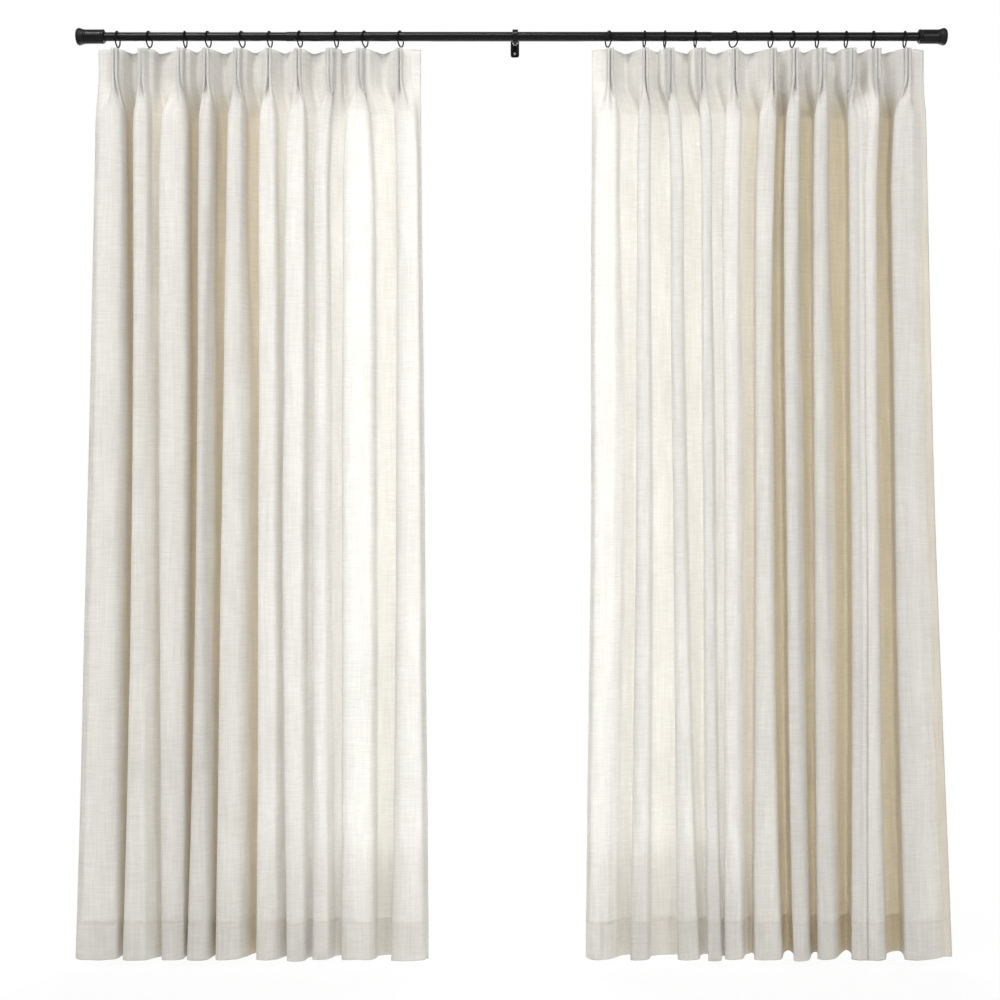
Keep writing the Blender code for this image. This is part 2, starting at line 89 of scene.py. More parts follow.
# How each panel's folds hang, from its left fold to its right one: the left
# and right side of a fold at the shoulder, halfway down and at the hem, how far
# its left side tucks under it, how gently its right side slopes into the next
# hollow (1 is gentlest), and how deep that hollow is beside a full one
LEFT_FOLDS = (
    ((-1.112, -1.051), (-1.127, -1.062), (-1.160, -1.066), 0.004, 0.9, 1.00),
    ((-1.021, -0.984), (-1.023, -0.990), (-1.048, -0.985), 0.012, 0.9, 0.52),
    ((-0.953, -0.880), (-0.952, -0.884), (-0.943, -0.886), 0.006, 0.5, 1.05),
    ((-0.845, -0.812), (-0.850, -0.826), (-0.876, -0.822), 0.012, 0.9, 0.95),
    ((-0.771, -0.732), (-0.784, -0.735), (-0.801, -0.736), 0.010, 0.9, 0.85),
    ((-0.686, -0.643), (-0.686, -0.642), (-0.691, -0.638), 0.008, 0.9, 0.50),
    ((-0.613, -0.562), (-0.618, -0.565), (-0.609, -0.564), 0.008, 0.6, 0.58),
    ((-0.540, -0.506), (-0.540, -0.506), (-0.542, -0.501), 0.012, 0.6, 0.55),
    ((-0.461, -0.382), (-0.461, -0.382), (-0.465, -0.378), 0.008, 0.3, 0.60),
    ((-0.318, -0.262), (-0.318, -0.256), (-0.330, -0.247), 0.012, 0.0, 0.60),
)
RIGHT_FOLDS = (
    ((0.216, 0.272), (0.214, 0.266), (0.203, 0.250), 0.000, 0.8, 0.60),
    ((0.326, 0.359), (0.322, 0.359), (0.309, 0.354), 0.012, 0.3, 0.66),
    ((0.415, 0.448), (0.420, 0.452), (0.434, 0.490), 0.012, 0.4, 0.66),
    ((0.500, 0.525), (0.502, 0.527), (0.516, 0.551), 0.008, 0.6, 0.55),
    ((0.556, 0.600), (0.559, 0.594), (0.562, 0.608), 0.006, 0.7, 0.75),
    ((0.645, 0.693), (0.642, 0.684), (0.640, 0.712), 0.006, 0.7, 1.00),
    ((0.719, 0.758), (0.722, 0.756), (0.744, 0.785), 0.010, 0.9, 1.00),
    ((0.797, 0.836), (0.800, 0.838), (0.810, 0.857), 0.012, 0.9, 1.00),
    ((0.892, 0.928), (0.899, 0.934), (0.903, 0.943), 0.010, 1.0, 0.05),
    ((0.932, 0.967), (0.936, 0.968), (0.944, 0.990), 0.000, 0.5, 1.05),
    ((1.006, 1.055), (1.019, 1.073), (1.040, 1.110), 0.008, 0.0, 0.60),
)
# X of each panel's two edges at the heading, halfway down and at the hem
LEFT_EDGES = ((-1.122, -1.148, -1.180), (-0.254, -0.243, -0.233))
RIGHT_EDGES = ((0.207, 0.201, 0.190), (1.100, 1.131, 1.173))
# How far the fingers of each pleat lean sideways from their hook
LEFT_LEANS = (-0.002, -0.016, -0.010, -0.001, -0.010, 0.000, -0.003, -0.016, -0.014, -0.002)
RIGHT_LEANS = (0.004, 0.000, 0.014, 0.016, 0.000, 0.003, 0.003, 0.010, 0.012, 0.006, 0.002)

# Down from the top edge: to where the folds hang free, to the pleats' lowest
# stitch, and to where the pleats have opened into folds
SHOULDER_DROP = 0.40
PLEAT_STITCHED = 0.074
PLEAT_OPEN = 0.195


# ---------------------------------------------------------------- settings


class ClothSettings(bpy.types.PropertyGroup):
    """Sizes and colours of the linen panels."""

    thread: FloatVectorProperty(
        name="Thread", description="Colour of the linen's lighter threads",
        subtype="COLOR", size=4, min=0.0, max=1.0, default=(0.93, 0.92, 0.897, 1.0))
    slub: FloatVectorProperty(
        name="Slub", description="Colour of the thicker, darker threads",
        subtype="COLOR", size=4, min=0.0, max=1.0, default=(0.745, 0.725, 0.685, 1.0))
    # Painted shade: a warm darkening tint laid on the cloth's colour deep in the folds and along the hem's
    # seam
    hollow: FloatVectorProperty(
        name="Painted shade", description="Tint of the cloth deep in the folds",
        subtype="COLOR", size=4, min=0.0, max=1.0, default=(0.96, 0.915, 0.81, 1.0))
    thickness: FloatProperty(
        name="Thickness", description="Thickness of one layer of cloth",
        default=0.0010, min=0.0005, max=0.003, unit="LENGTH")
    hem_depth: FloatProperty(
        name="Hem", description="Depth of the turned-up bottom hem",
        default=0.100, min=0.02, max=0.2, unit="LENGTH")
    side_hem: FloatProperty(
        name="Side hem", description="Width of the turned side hems",
        default=0.026, min=0.01, max=0.06, unit="LENGTH")
    facing_depth: FloatProperty(
        name="Heading facing", description="Depth of the layer behind the heading",
        default=0.165, min=0.05, max=0.3, unit="LENGTH")
    fold_depth: FloatProperty(
        name="Fold depth", description="From the front of a fold to the back of a hollow",
        default=0.070, min=0.03, max=0.10, unit="LENGTH")


class HardwareSettings(bpy.types.PropertyGroup):
    """Colours and finishes of the rod, rings and bracket."""

    coat: FloatVectorProperty(
        name="Coat", description="Colour of the satin black coat",
        subtype="COLOR", size=4, min=0.0, max=1.0, default=(0.006, 0.006, 0.0065, 1.0))
    worn: FloatVectorProperty(
        name="Worn coat", description="Colour where rings have rubbed the coat",
        subtype="COLOR", size=4, min=0.0, max=1.0, default=(0.016, 0.0155, 0.015, 1.0))
    steel: FloatVectorProperty(
        name="Steel", description="Colour of the bare steel",
        subtype="COLOR", size=4, min=0.0, max=1.0, default=(0.52, 0.52, 0.50, 1.0))
    rubber: FloatVectorProperty(
        name="Rubber", description="Colour of the feet",
        subtype="COLOR", size=4, min=0.0, max=1.0, default=(0.009, 0.009, 0.009, 1.0))


class StageSettings(bpy.types.PropertyGroup):
    """Camera and lamps."""

    lens: FloatProperty(
        name="Lens", description="Focal length of the camera in millimetres",
        default=54.0, min=20.0, max=200.0)
    distance: FloatProperty(
        name="Distance", description="From the camera to the rod",
        default=4.04, min=1.0, max=20.0, unit="LENGTH")
    key: FloatProperty(
        name="Key", description="Power of the soft box at the front left",
        default=73.0, min=0.0, max=2000.0, unit="POWER")
    fill: FloatProperty(
        name="Fill", description="Power of the soft box at the front right",
        default=71.0, min=0.0, max=2000.0, unit="POWER")
    window: FloatProperty(
        name="Window", description="Power per metre of width of the bright panes behind the inner halves",
        default=2.55, min=0.0, max=2000.0, unit="POWER")
    daylight: FloatProperty(
        name="Daylight", description="Power per metre of width of the daylight behind the inner halves",
        default=4.3, min=0.0, max=2000.0, unit="POWER")
    back: FloatProperty(
        name="Back", description="Power of the soft box behind both panels",
        default=108.0, min=0.0, max=2000.0, unit="POWER")
    strip: FloatProperty(
        name="Strip", description="Power of the long lamp above that draws a line on the rod",
        default=44.0, min=0.0, max=2000.0, unit="POWER")
    sky: FloatProperty(
        name="Surroundings", description="Strength of the light from all round",
        default=0.40, min=0.0, max=5.0)


# ------------------------------------------------------------ small helpers


def smooth_step(value):
    """0 to 1 with level ends."""
    value = min(max(value, 0.0), 1.0)
    return value * value * (3.0 - 2.0 * value)


def lerp(start, stop, share):
    """From start to stop."""
    return start + (stop - start) * share


def through_three(values, places, at):
    """The smooth curve through three values."""
    total = 0.0
    for index, value in enumerate(values):
        term = value
        for other in range(3):
            if other != index:
                term *= (at - places[other]) / (places[index] - places[other])
        total += term
    return total


def finish_mesh(name, bm, material, smooth_angle=35.0):
    """Turn a bmesh into an object at the origin with smooth faces and one material."""
    mesh = bpy.data.meshes.new(name)
    bm.to_mesh(mesh)
    bm.free()
    mesh.materials.append(material)
    mesh.shade_smooth()
    if smooth_angle is not None:
        mesh.set_sharp_from_angle(angle=math.radians(smooth_angle))
    obj = bpy.data.objects.new(name, mesh)
    bpy.context.scene.collection.objects.link(obj)
    return obj


def place(obj, body, slot, *nodes):
    """Ride on a body and stand for CAD nodes; the slot is not used."""
    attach(obj, body)
    if nodes:
        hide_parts(*nodes)
    return obj


def edges_of(vertices):
    """Every edge at these vertices, once each and always in the same order."""
    return list(dict.fromkeys(edge for vertex in vertices for edge in vertex.link_edges))


def turned(bm, profile, axis_origin, axis, steps=64, rounding=0.0):
    """Spin a closed (along, radius) profile about an axis, its corners rounded first if asked."""
    axis = Vector(axis).normalized()
    side = axis.orthogonal().normalized()
    origin = Vector(axis_origin)
    vertices = [bm.verts.new(origin + axis * along + side * radius) for along, radius in profile]
    edges = [bm.edges.new(pair) for pair in zip(vertices, vertices[1:])]
    hollow = all(radius > 0.0 for _, radius in profile)
    if hollow:
        edges.append(bm.edges.new((vertices[-1], vertices[0])))
    if rounding > 0.0:
        corners = vertices if hollow else vertices[1:-1]
        made = bmesh.ops.bevel(bm, geom=corners, offset=rounding, segments=4, profile=0.5,
                               affect="VERTICES", material=-1, clamp_overlap=True)
        vertices = [v for v in dict.fromkeys(vertices + made["verts"]) if v.is_valid]
        edges = edges_of(vertices)
    bmesh.ops.spin(bm, geom=list(vertices) + list(edges), cent=origin, axis=axis,
                   angle=2.0 * math.pi, steps=steps, use_merge=True)
    bmesh.ops.remove_doubles(bm, verts=bm.verts, dist=0.000002)
    bmesh.ops.dissolve_degenerate(bm, edges=bm.edges, dist=0.000002)
    bmesh.ops.recalc_face_normals(bm, faces=bm.faces)


def sweep(bm, path, radius, sides=10):
    """A round wire along a path of points, closed at both ends."""
    def heading(index):
        ahead = path[min(index + 1, len(path) - 1)]
        behind = path[max(index - 1, 0)]
        return (ahead - behind).normalized()

    made = bmesh.ops.create_circle(bm, cap_ends=False, radius=radius, segments=sides)
    ring = made["verts"]
    spin = Vector((0.0, 0.0, 1.0)).rotation_difference(heading(0)).to_matrix()
    bmesh.ops.rotate(bm, verts=ring, cent=(0.0, 0.0, 0.0), matrix=spin)
    bmesh.ops.translate(bm, verts=ring, vec=path[0])
    edges = edges_of(ring)
    first_loop = edges
    for index in range(1, len(path)):
        made = bmesh.ops.extrude_edge_only(bm, edges=edges)
        ring = [g for g in made["geom"] if isinstance(g, bmesh.types.BMVert)]
        edges = [g for g in made["geom"] if isinstance(g, bmesh.types.BMEdge)]
        edges = [e for e in edges if all(v in ring for v in e.verts)]
        turn = heading(index - 1).rotation_difference(heading(index)).to_matrix()
        bmesh.ops.translate(bm, verts=ring, vec=path[index] - path[index - 1])
        bmesh.ops.rotate(bm, verts=ring, cent=path[index], matrix=turn)
    for loop in (first_loop, edges):
        bmesh.ops.edgeloop_fill(bm, edges=loop)


# ---------------------------------------------------------------- materials


def add_node(tree, kind, links=None, **settings):
    """A node with settings and with its inputs linked or set by name."""
    node = tree.nodes.new(kind)
    for name, value in settings.items():
        setattr(node, name, value)
    for name, value in (links or {}).items():
        target = node.inputs[name]
        if isinstance(value, bpy.types.NodeSocket):
            tree.links.new(value, target)
        else:
            target.default_value = value
    return node


def stretched_noise(tree, vector, scale, detail=3.0, roughness=0.6):
    """Noise stretched by a different scale along each axis."""
    mapping = add_node(tree, "ShaderNodeMapping", {"Vector": vector, "Scale": scale})
    made = add_node(tree, "ShaderNodeTexNoise", {
        "Vector": mapping.outputs["Vector"], "Scale": 1.0, "Detail": detail, "Roughness": roughness})
    return made.outputs["Fac"]


def ramp(tree, value, low, high):
    """Spread the range from low to high over 0 to 1."""
    made = add_node(tree, "ShaderNodeMapRange", {
        "Value": value, "From Min": low, "From Max": high, "To Min": 0.0, "To Max": 1.0})
    made.clamp = True
    return made.outputs["Result"]


def math_node(tree, operation, first, second):
    """A Math node."""
    node = tree.nodes.new("ShaderNodeMath")
    node.operation = operation
    for index, value in enumerate((first, second)):
        if isinstance(value, bpy.types.NodeSocket):
            tree.links.new(value, node.inputs[index])
        else:
            node.inputs[index].default_value = value
    return node.outputs[0]


def mix_colour(tree, factor, first, second, blend="MIX"):
    """A colour Mix node."""
    node = tree.nodes.new("ShaderNodeMix")
    node.data_type = "RGBA"
    node.blend_type = blend
    for index, value in ((0, factor), (6, first), (7, second)):
        if isinstance(value, bpy.types.NodeSocket):
            tree.links.new(value, node.inputs[index])
        else:
            node.inputs[index].default_value = value
    return node.outputs[2]


def mix_shaders(tree, share, first, second):
    """A Mix Shader node's output, where share of the second lies over the first."""
    node = add_node(tree, "ShaderNodeMixShader", {"Fac": share})
    tree.links.new(first, node.inputs[1])
    tree.links.new(second, node.inputs[2])
    return node.outputs["Shader"]


def start_group(name, inputs, outputs):
    """A node group with named sockets, and the inside ends of both."""
    group = bpy.data.node_groups.new(name, "ShaderNodeTree")
    for direction, sockets in (("INPUT", inputs), ("OUTPUT", outputs)):
        for socket, kind in sockets.items():
            group.interface.new_socket(socket, in_out=direction, socket_type=f"NodeSocket{kind}")
    return (group, group.nodes.new("NodeGroupInput").outputs,
            group.nodes.new("NodeGroupOutput").inputs)


def linen_weave_group():
    """Threads, slubs and thin places of a plain linen weave, on the cloth's own flat map, with painted
    shade in the folds' hollows.
    """
    group, given, result = start_group(
        "linen_weave", {"Thread": "Color", "Slub": "Color", "Painted shade": "Color"},
        {"Colour": "Color", "Roughness": "Float", "Height": "Float"})
    times, plus = partial(math_node, group, "MULTIPLY"), partial(math_node, group, "ADD")
    flat = add_node(group, "ShaderNodeUVMap", uv_map="cloth").outputs["UV"]
    streaked = partial(stretched_noise, group, flat)
    warp = plus(times(streaked((420.0, 9.0, 1.0)), 0.62), times(streaked((170.0, 7.0, 1.0)), 0.38))
    weft = plus(times(streaked((13.0, 430.0, 1.0)), 0.62), times(streaked((16.0, 210.0, 1.0)), 0.38))
    warp_slub = ramp(group, streaked((700.0, 24.0, 1.0), 1.0), 0.60, 0.74)
    weft_slub = ramp(group, streaked((30.0, 640.0, 1.0), 1.0), 0.58, 0.72)
    cloud = streaked((9.0, 5.0, 1.0), 4.0)
    threads, picks = (add_node(group, "ShaderNodeTexWave", {
        "Vector": flat, "Scale": scale, "Distortion": 2.0, "Detail": 1.0, "Detail Scale": 2.0},
        bands_direction=direction).outputs["Fac"] for scale, direction in ((330.0, "X"), (360.0, "Y")))
    streaks = plus(times(warp, 0.5), times(weft, 0.5))
    slubs = math_node(group, "MAXIMUM", times(warp_slub, 0.6), times(weft_slub, 0.8))
    base = mix_colour(group, ramp(group, streaks, 0.36, 0.63), given["Slub"], given["Thread"])
    base = mix_colour(group, times(slubs, 0.55), base, given["Slub"])
    cloudy = mix_colour(group, ramp(group, cloud, 0.30, 0.70),
                        (0.955, 0.955, 0.955, 1.0), (1.0, 1.0, 1.0, 1.0))
    base = mix_colour(group, 1.0, base, cloudy, "MULTIPLY")
    # Painted shade: the weave's colour is multiplied by the shade tint as far as the hollow attribute
    # reaches
    depth = add_node(group, "ShaderNodeAttribute", attribute_name="hollow").outputs["Fac"]
    shaded = mix_colour(group, 1.0, base, given["Painted shade"], "MULTIPLY")
    group.links.new(mix_colour(group, depth, base, shaded), result["Colour"])
    group.links.new(plus(times(slubs, -0.10), 0.92), result["Roughness"])
    raised = plus(times(plus(threads, picks), 0.22), times(slubs, 0.6))
    group.links.new(plus(raised, times(streaks, 0.9)), result["Height"])
    return group


def grain_group():
    """Fine grain and cloudy wear of a coated or moulded surface, on Object coordinates."""
    group, given, result = start_group(
        "fine_grain", {"Base": "Color", "Worn": "Color", "Smooth": "Float", "Rough": "Float"},
        {"Colour": "Color", "Roughness": "Float", "Height": "Float"})
    times, plus = partial(math_node, group, "MULTIPLY"), partial(math_node, group, "ADD")
    where = group.nodes.new("ShaderNodeTexCoord").outputs["Object"]
    fine = stretched_noise(group, where, (1400.0, 1400.0, 1400.0), 2.0)
    cloud = stretched_noise(group, where, (14.0, 40.0, 40.0), 4.0)
    scuff = stretched_noise(group, where, (55.0, 420.0, 420.0), 3.0, 0.7)
    wear = times(ramp(group, cloud, 0.48, 0.72), ramp(group, scuff, 0.50, 0.66))
    group.links.new(mix_colour(group, wear, given["Base"], given["Worn"]), result["Colour"])
    spread = plus(times(fine, 0.35), times(ramp(group, cloud, 0.3, 0.7), 0.65))
    rough = add_node(group, "ShaderNodeMapRange", {
        "Value": spread, "From Min": 0.0, "From Max": 1.0,
        "To Min": given["Smooth"], "To Max": given["Rough"]})
    group.links.new(rough.outputs["Result"], result["Roughness"])
    group.links.new(fine, result["Height"])
    return group


def material(name):
    """An empty material and its tree and output."""
    made = bpy.data.materials.new(name)
    made.use_nodes = True
    made.node_tree.nodes.clear()
    output = made.node_tree.nodes.new("ShaderNodeOutputMaterial")
    return made, made.node_tree, output


def grained(name, base, worn, smooth, rough, metallic, bump, shine=0.5):
    """A coated, bare or moulded surface with fine grain."""
    made, tree, output = material(name)
    group = bpy.data.node_groups.get("fine_grain") or grain_group()
    grain = add_node(tree, "ShaderNodeGroup", node_tree=group)
    for socket, value in (("Base", base), ("Worn", worn), ("Smooth", smooth), ("Rough", rough)):
        grain.inputs[socket].default_value = value
    relief = add_node(tree, "ShaderNodeBump", {
        "Height": grain.outputs["Height"], "Strength": bump, "Distance": 0.0002})
    shader = add_node(tree, "ShaderNodeBsdfPrincipled", {
        "Base Color": grain.outputs["Colour"], "Roughness": grain.outputs["Roughness"],
        "Normal": relief.outputs["Normal"], "Metallic": metallic, "Specular IOR Level": shine})
    tree.links.new(shader.outputs["BSDF"], output.inputs["Surface"])
    return made


def linen(name, through, body, gaps):
    """Linen that lets part of the light through, and part straight between its threads."""
    settings = bpy.context.scene.curtain_cloth
    made, tree, output = material(name)
    group = bpy.data.node_groups.get("linen_weave") or linen_weave_group()
    weave = add_node(tree, "ShaderNodeGroup", node_tree=group)
    weave.inputs["Thread"].default_value = [c * body for c in settings.thread[:3]] + [1.0]
    weave.inputs["Slub"].default_value = [c * body for c in settings.slub[:3]] + [1.0]
    # The painted shade tint for the folds' hollows and the hem's seam
    weave.inputs["Painted shade"].default_value = settings.hollow
    relief = add_node(tree, "ShaderNodeBump", {
        "Height": weave.outputs["Height"], "Strength": 0.35, "Distance": 0.0006})
    shader = add_node(tree, "ShaderNodeBsdfPrincipled", {
        "Base Color": weave.outputs["Colour"], "Roughness": weave.outputs["Roughness"],
        "Normal": relief.outputs["Normal"], "Sheen Weight": 0.08, "Sheen Roughness": 0.5,
        "Specular IOR Level": 0.2})
    glow = add_node(tree, "ShaderNodeBsdfTranslucent", {
        "Color": weave.outputs["Colour"], "Normal": relief.outputs["Normal"]})
    surface = mix_shaders(tree, through, shader.outputs["BSDF"], glow.outputs["BSDF"])
    if gaps > 0.0:
        clear = tree.nodes.new("ShaderNodeBsdfTransparent")
        surface = mix_shaders(tree, gaps, surface, clear.outputs["BSDF"])
    tree.links.new(surface, output.inputs["Surface"])
    return made


def finish(name):
    """A named finish, made when it is first asked for."""
    found = bpy.data.materials.get(name)
    if found:
        return found
    hardware = bpy.context.scene.curtain_hardware
    coat, worn = hardware.coat, hardware.worn
    # Colour, worn colour, least and most roughness, metallic, depth of grain, shine
    hard = {
        "satin_black": (coat, worn, 0.20, 0.30, 0.0, 0.15, 0.20),
        "ring_black": (coat, worn, 0.34, 0.46, 0.0, 0.15, 0.05),
        "bare_steel_finish": (hardware.steel, (0.34, 0.33, 0.31, 1.0), 0.24, 0.44, 1.0, 0.2),
        "screw_steel": ((0.42, 0.42, 0.41, 1.0), (0.34, 0.34, 0.33, 1.0), 0.26, 0.40, 1.0, 0.1),
        "foot_rubber": (hardware.rubber, (0.028, 0.028, 0.027, 1.0), 0.34, 0.50, 0.0, 0.3, 0.18),
        "plug_plastic": ((0.02, 0.02, 0.02, 1.0), (0.03, 0.03, 0.03, 1.0), 0.42, 0.60, 0.0, 0.3),
    }
    # Share of light let through, paleness, share of open gaps between the threads
    soft = {"linen_cloth": (0.46, 1.0, 0.0), "linen_layer": (0.80, 1.03, 0.45),
            "linen_thread": (0.15, 0.97, 0.0)}
    return grained(name, *hard[name]) if name in hard else linen(name, *soft[name])


# ------------------------------------------------------------------- the rod

ALONG_ROD = (1.0, 0.0, 0.0)
ROD_CENTRE = (0.0, ROD_Y, 0.0)
TUBE_WALLS = {"centre_tube": 0.0006, "left_inner_tube": 0.0008, "right_inner_tube": 0.0008}


def make_tube(name, node, body):
    """A drawn tube with softly rolled ends."""
    low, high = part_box(node)
    radius = (high.z - low.z) / 2.0
    bore = radius - TUBE_WALLS[node]
    bm = bmesh.new()
    turned(bm, ((low.x, bore), (low.x, radius), (high.x, radius), (high.x, bore)),
           ROD_CENTRE, ALONG_ROD, steps=72, rounding=0.00025)
    tube = finish_mesh(name, bm, finish("satin_black"))
    return place(tube, body, "black_steel", node)


class CURTAINS_OT_rod(bpy.types.Operator):
    """Build the centre tube and the two tubes that slide out of it"""

    bl_idname = "curtains.rod"
    bl_label = "Rod"

    def execute(self, context):
        make_tube("rod_centre_tube", "centre_tube", "rod_and_bracket")
        for word, _ in SIDES:
            make_tube(f"{word}_sliding_tube", f"{word}_inner_tube", f"{word}_tube")
        return {"FINISHED"}


# ------------------------------------------------------------ the end jacks


def end_profile(node, side, shape):
    """Turn (distance from the inner end, radius) into (X, radius)."""
    low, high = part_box(node)
    inner = high.x if side < 0 else low.x
    return [(inner + side * along, radius) for along, radius in shape]


def make_collar(word, side):
    """The long round nut, with a raised lip at its inner end and two fine grooves."""
    node = f"{word}_collar"
    low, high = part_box(node)
    length, radius = high.x - low.x, (high.z - low.z) / 2.0
    shape = (
        (0.0, 0.0122), (0.0, radius - 0.0040), (0.0022, radius), (0.0056, radius + 0.0003),
        (0.0076, radius - 0.0004), (0.0086, radius - 0.0008), (0.0096, radius - 0.0004),
        (0.0110, radius - 0.0002), (0.0440, radius - 0.0002),
        (length - 0.0052, radius - 0.0002), (length - 0.0044, radius - 0.0009),
        (length - 0.0036, radius - 0.0002), (length - 0.0010, radius - 0.0002),
        (length, radius - 0.0012), (length, 0.0056), (length - 0.002, 0.0054),
        (length - 0.040, 0.0054), (length - 0.040, 0.0149), (0.0078, 0.0149), (0.0078, 0.0122),
    )
    bm = bmesh.new()
    turned(bm, end_profile(node, side, shape), ROD_CENTRE, ALONG_ROD, steps=72, rounding=0.00022)
    collar = finish_mesh(f"{word}_jack_collar", bm, finish("satin_black"))
    return place(collar, f"{word}_collar", "black_steel", node)


def make_foot(word, side):
    """The flared rubber foot, domed at its rim, with shallow rings in its face."""
    node = f"{word}_foot"
    low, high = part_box(node)
    length, radius = high.x - low.x, (high.z - low.z) / 2.0
    shape = [(0.0100, 0.0), (0.0100, 0.0053), (0.0, 0.0053), (0.0, 0.0172),
             (-0.0040, 0.0174), (-0.0040, 0.0193), (-0.0020, 0.0198), (0.0015, 0.0207),
             (0.0050, 0.0221), (0.0072, radius - 0.0002), (0.0092, radius),
             (0.0118, radius - 0.0006), (0.0140, radius - 0.0019),
             (length - 0.0006, radius - 0.0040), (length, radius - 0.0052)]
    for ring in range(3):
        outer = 0.0162 - 0.0042 * ring
        shape += [(length, outer), (length - 0.0009, outer - 0.0005),
                  (length - 0.0009, outer - 0.0012), (length, outer - 0.0017)]
    shape.append((length, 0.0))
    bm = bmesh.new()
    turned(bm, end_profile(node, side, shape), ROD_CENTRE, ALONG_ROD, steps=72, rounding=0.0002)
    foot = finish_mesh(f"{word}_rubber_foot", bm, finish("foot_rubber"))
    return place(foot, f"{word}_foot", "black_rubber", node)


def make_spindle(word, side):
    """The jack's screw, with a rolled thread and a plain tip."""
    node = f"{word}_spindle"
    low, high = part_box(node)
    radius = (high.z - low.z) / 2.0
    pitch, root, plain, steps = 0.0015, radius - 0.0008, 0.0085, 20
    inner, outer = (high.x, low.x) if side < 0 else (low.x, high.x)
    turns = int((abs(outer - inner) - plain - 0.001) / pitch)
    start = inner + side * 0.001
    bm = bmesh.new()
    shape = ((0.0, root), (0.00035, root), (0.00068, radius), (0.00092, radius), (0.00125, root),
             (pitch, root))
    vertices = [bm.verts.new((start + side * along, ROD_Y, r)) for along, r in shape]
    edges = [bm.edges.new(pair) for pair in zip(vertices, vertices[1:])]
    bmesh.ops.spin(bm, geom=vertices + edges, cent=ROD_CENTRE, axis=ALONG_ROD,
                   dvec=(side * pitch / steps, 0.0, 0.0), angle=2.0 * math.pi * turns,
                   steps=steps * turns, use_merge=False)
    bmesh.ops.remove_doubles(bm, verts=bm.verts, dist=0.00002)
    bmesh.ops.holes_fill(bm, edges=[e for e in bm.edges if e.is_boundary], sides=0)
    stop = start + side * pitch * turns
    turned(bm, ((stop - side * 0.001, 0.0), (stop - side * 0.001, root - 0.0001),
                (stop, root - 0.0001), (stop + side * 0.0006, radius - 0.0003),
                (outer, radius - 0.0003), (outer, 0.0)), ROD_CENTRE, ALONG_ROD, steps=32)
    spindle = finish_mesh(f"{word}_threaded_spindle", bm, finish("bare_steel_finish"))
    return place(spindle, f"{word}_foot", "bare_steel", node)


class CURTAINS_OT_end_jacks(bpy.types.Operator):
    """Build the collar, foot and screw at each end of the rod"""

    bl_idname = "curtains.end_jacks"
    bl_label = "End jacks"

    def execute(self, context):
        for word, side in SIDES:
            make_collar(word, side)
            make_foot(word, side)
            make_spindle(word, side)
            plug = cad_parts[f"{word}_end_plug"]
            plug.material_slots[0].material = finish("plug_plastic")
        return {"FINISHED"}


# ------------------------------------------------------------- the bracket


def make_plate():
    """The wall plate, pressed with a soft edge."""
    low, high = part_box("bracket_plate")
    size = high - low
    bm = bmesh.new()
    bmesh.ops.create_cube(bm, size=1.0)
    bmesh.ops.scale(bm, verts=bm.verts, vec=size)
    bmesh.ops.translate(bm, verts=bm.verts, vec=(low + high) / 2.0)
    corners = [e for e in bm.edges if abs(e.verts[0].co.y - e.verts[1].co.y) > size.y / 2.0]
    bmesh.ops.bevel(bm, geom=corners, offset=0.006, segments=8, profile=0.5, affect="EDGES",
                    material=-1)
    rim = [e for e in bm.edges if all(v.co.y < low.y + size.y / 4.0 for v in e.verts)]
    bmesh.ops.bevel(bm, geom=rim, offset=0.0009, segments=3, profile=0.5, affect="EDGES",
                    material=-1)
    plate = finish_mesh("wall_plate", bm, finish("satin_black"), 40.0)
    return place(plate, "rod_and_bracket", "black_steel", "bracket_plate")


def make_arm():
    """The saddle round the rod with its arm, which flares where it meets the plate."""
    low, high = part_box("bracket_arm")
    half = (high.x - low.x) / 2.0
    outer = (high.z - low.z) / 2.0
    bore = (ROD[1].z - ROD[0].z) / 2.0 + GAP
    bm = bmesh.new()
    turned(bm, ((-half, bore), (-half, outer - 0.0008), (-half + 0.0012, outer),
                (half - 0.0012, outer), (half, outer - 0.0008), (half, bore)),
           ROD_CENTRE, ALONG_ROD, steps=72, rounding=0.0009)
    turned(bm, ((ROD_Y + bore + 0.002, 0.0), (ROD_Y + bore + 0.002, 0.0066),
                (ROD_Y + outer + 0.001, 0.0060), (ROD_Y + outer + 0.006, 0.0050),
                (-0.016, 0.0050), (-0.0075, 0.0052), (-0.0048, 0.0058), (-0.0034, 0.0062),
                (-0.0033, 0.0050), (-GAP, 0.0049), (-GAP, 0.0)),
           (0.0, 0.0, 0.0), (0.0, 1.0, 0.0), steps=48)
    arm = finish_mesh("saddle_arm", bm, finish("satin_black"), 40.0)
    return place(arm, "rod_and_bracket", "black_steel", "bracket_arm")


def make_clamp_screw():
    """A socket-head screw under the saddle."""
    low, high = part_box("bracket_clamp_screw")
    head = (high.x - low.x) / 2.0
    seat = low.z + 0.003
    bm = bmesh.new()
    turned(bm, ((low.z + 0.0018, 0.0), (low.z + 0.0018, 0.0015), (low.z, 0.0016),
                (low.z, head - 0.0003), (low.z + 0.0004, head), (seat, head),
                (seat, 0.0022), (high.z, 0.0022), (high.z, 0.0)),
           ROD_CENTRE, (0.0, 0.0, 1.0), steps=36)
    recess = [v for v in bm.verts if v.co.z < low.z + 0.0025
              and math.hypot(v.co.x, v.co.y - ROD_Y) < 0.00165]
    for v in recess:
        angle = math.atan2(v.co.y - ROD_Y, v.co.x)
        reach = math.hypot(v.co.x, v.co.y - ROD_Y)
        flat = math.cos(math.pi / 6.0) / math.cos((angle % (math.pi / 3.0)) - math.pi / 6.0)
        v.co.x, v.co.y = reach * flat * math.cos(angle), ROD_Y + reach * flat * math.sin(angle)
    screw = finish_mesh("clamp_screw", bm, finish("satin_black"))
    return place(screw, "clamp_screw", "black_steel", "bracket_clamp_screw")


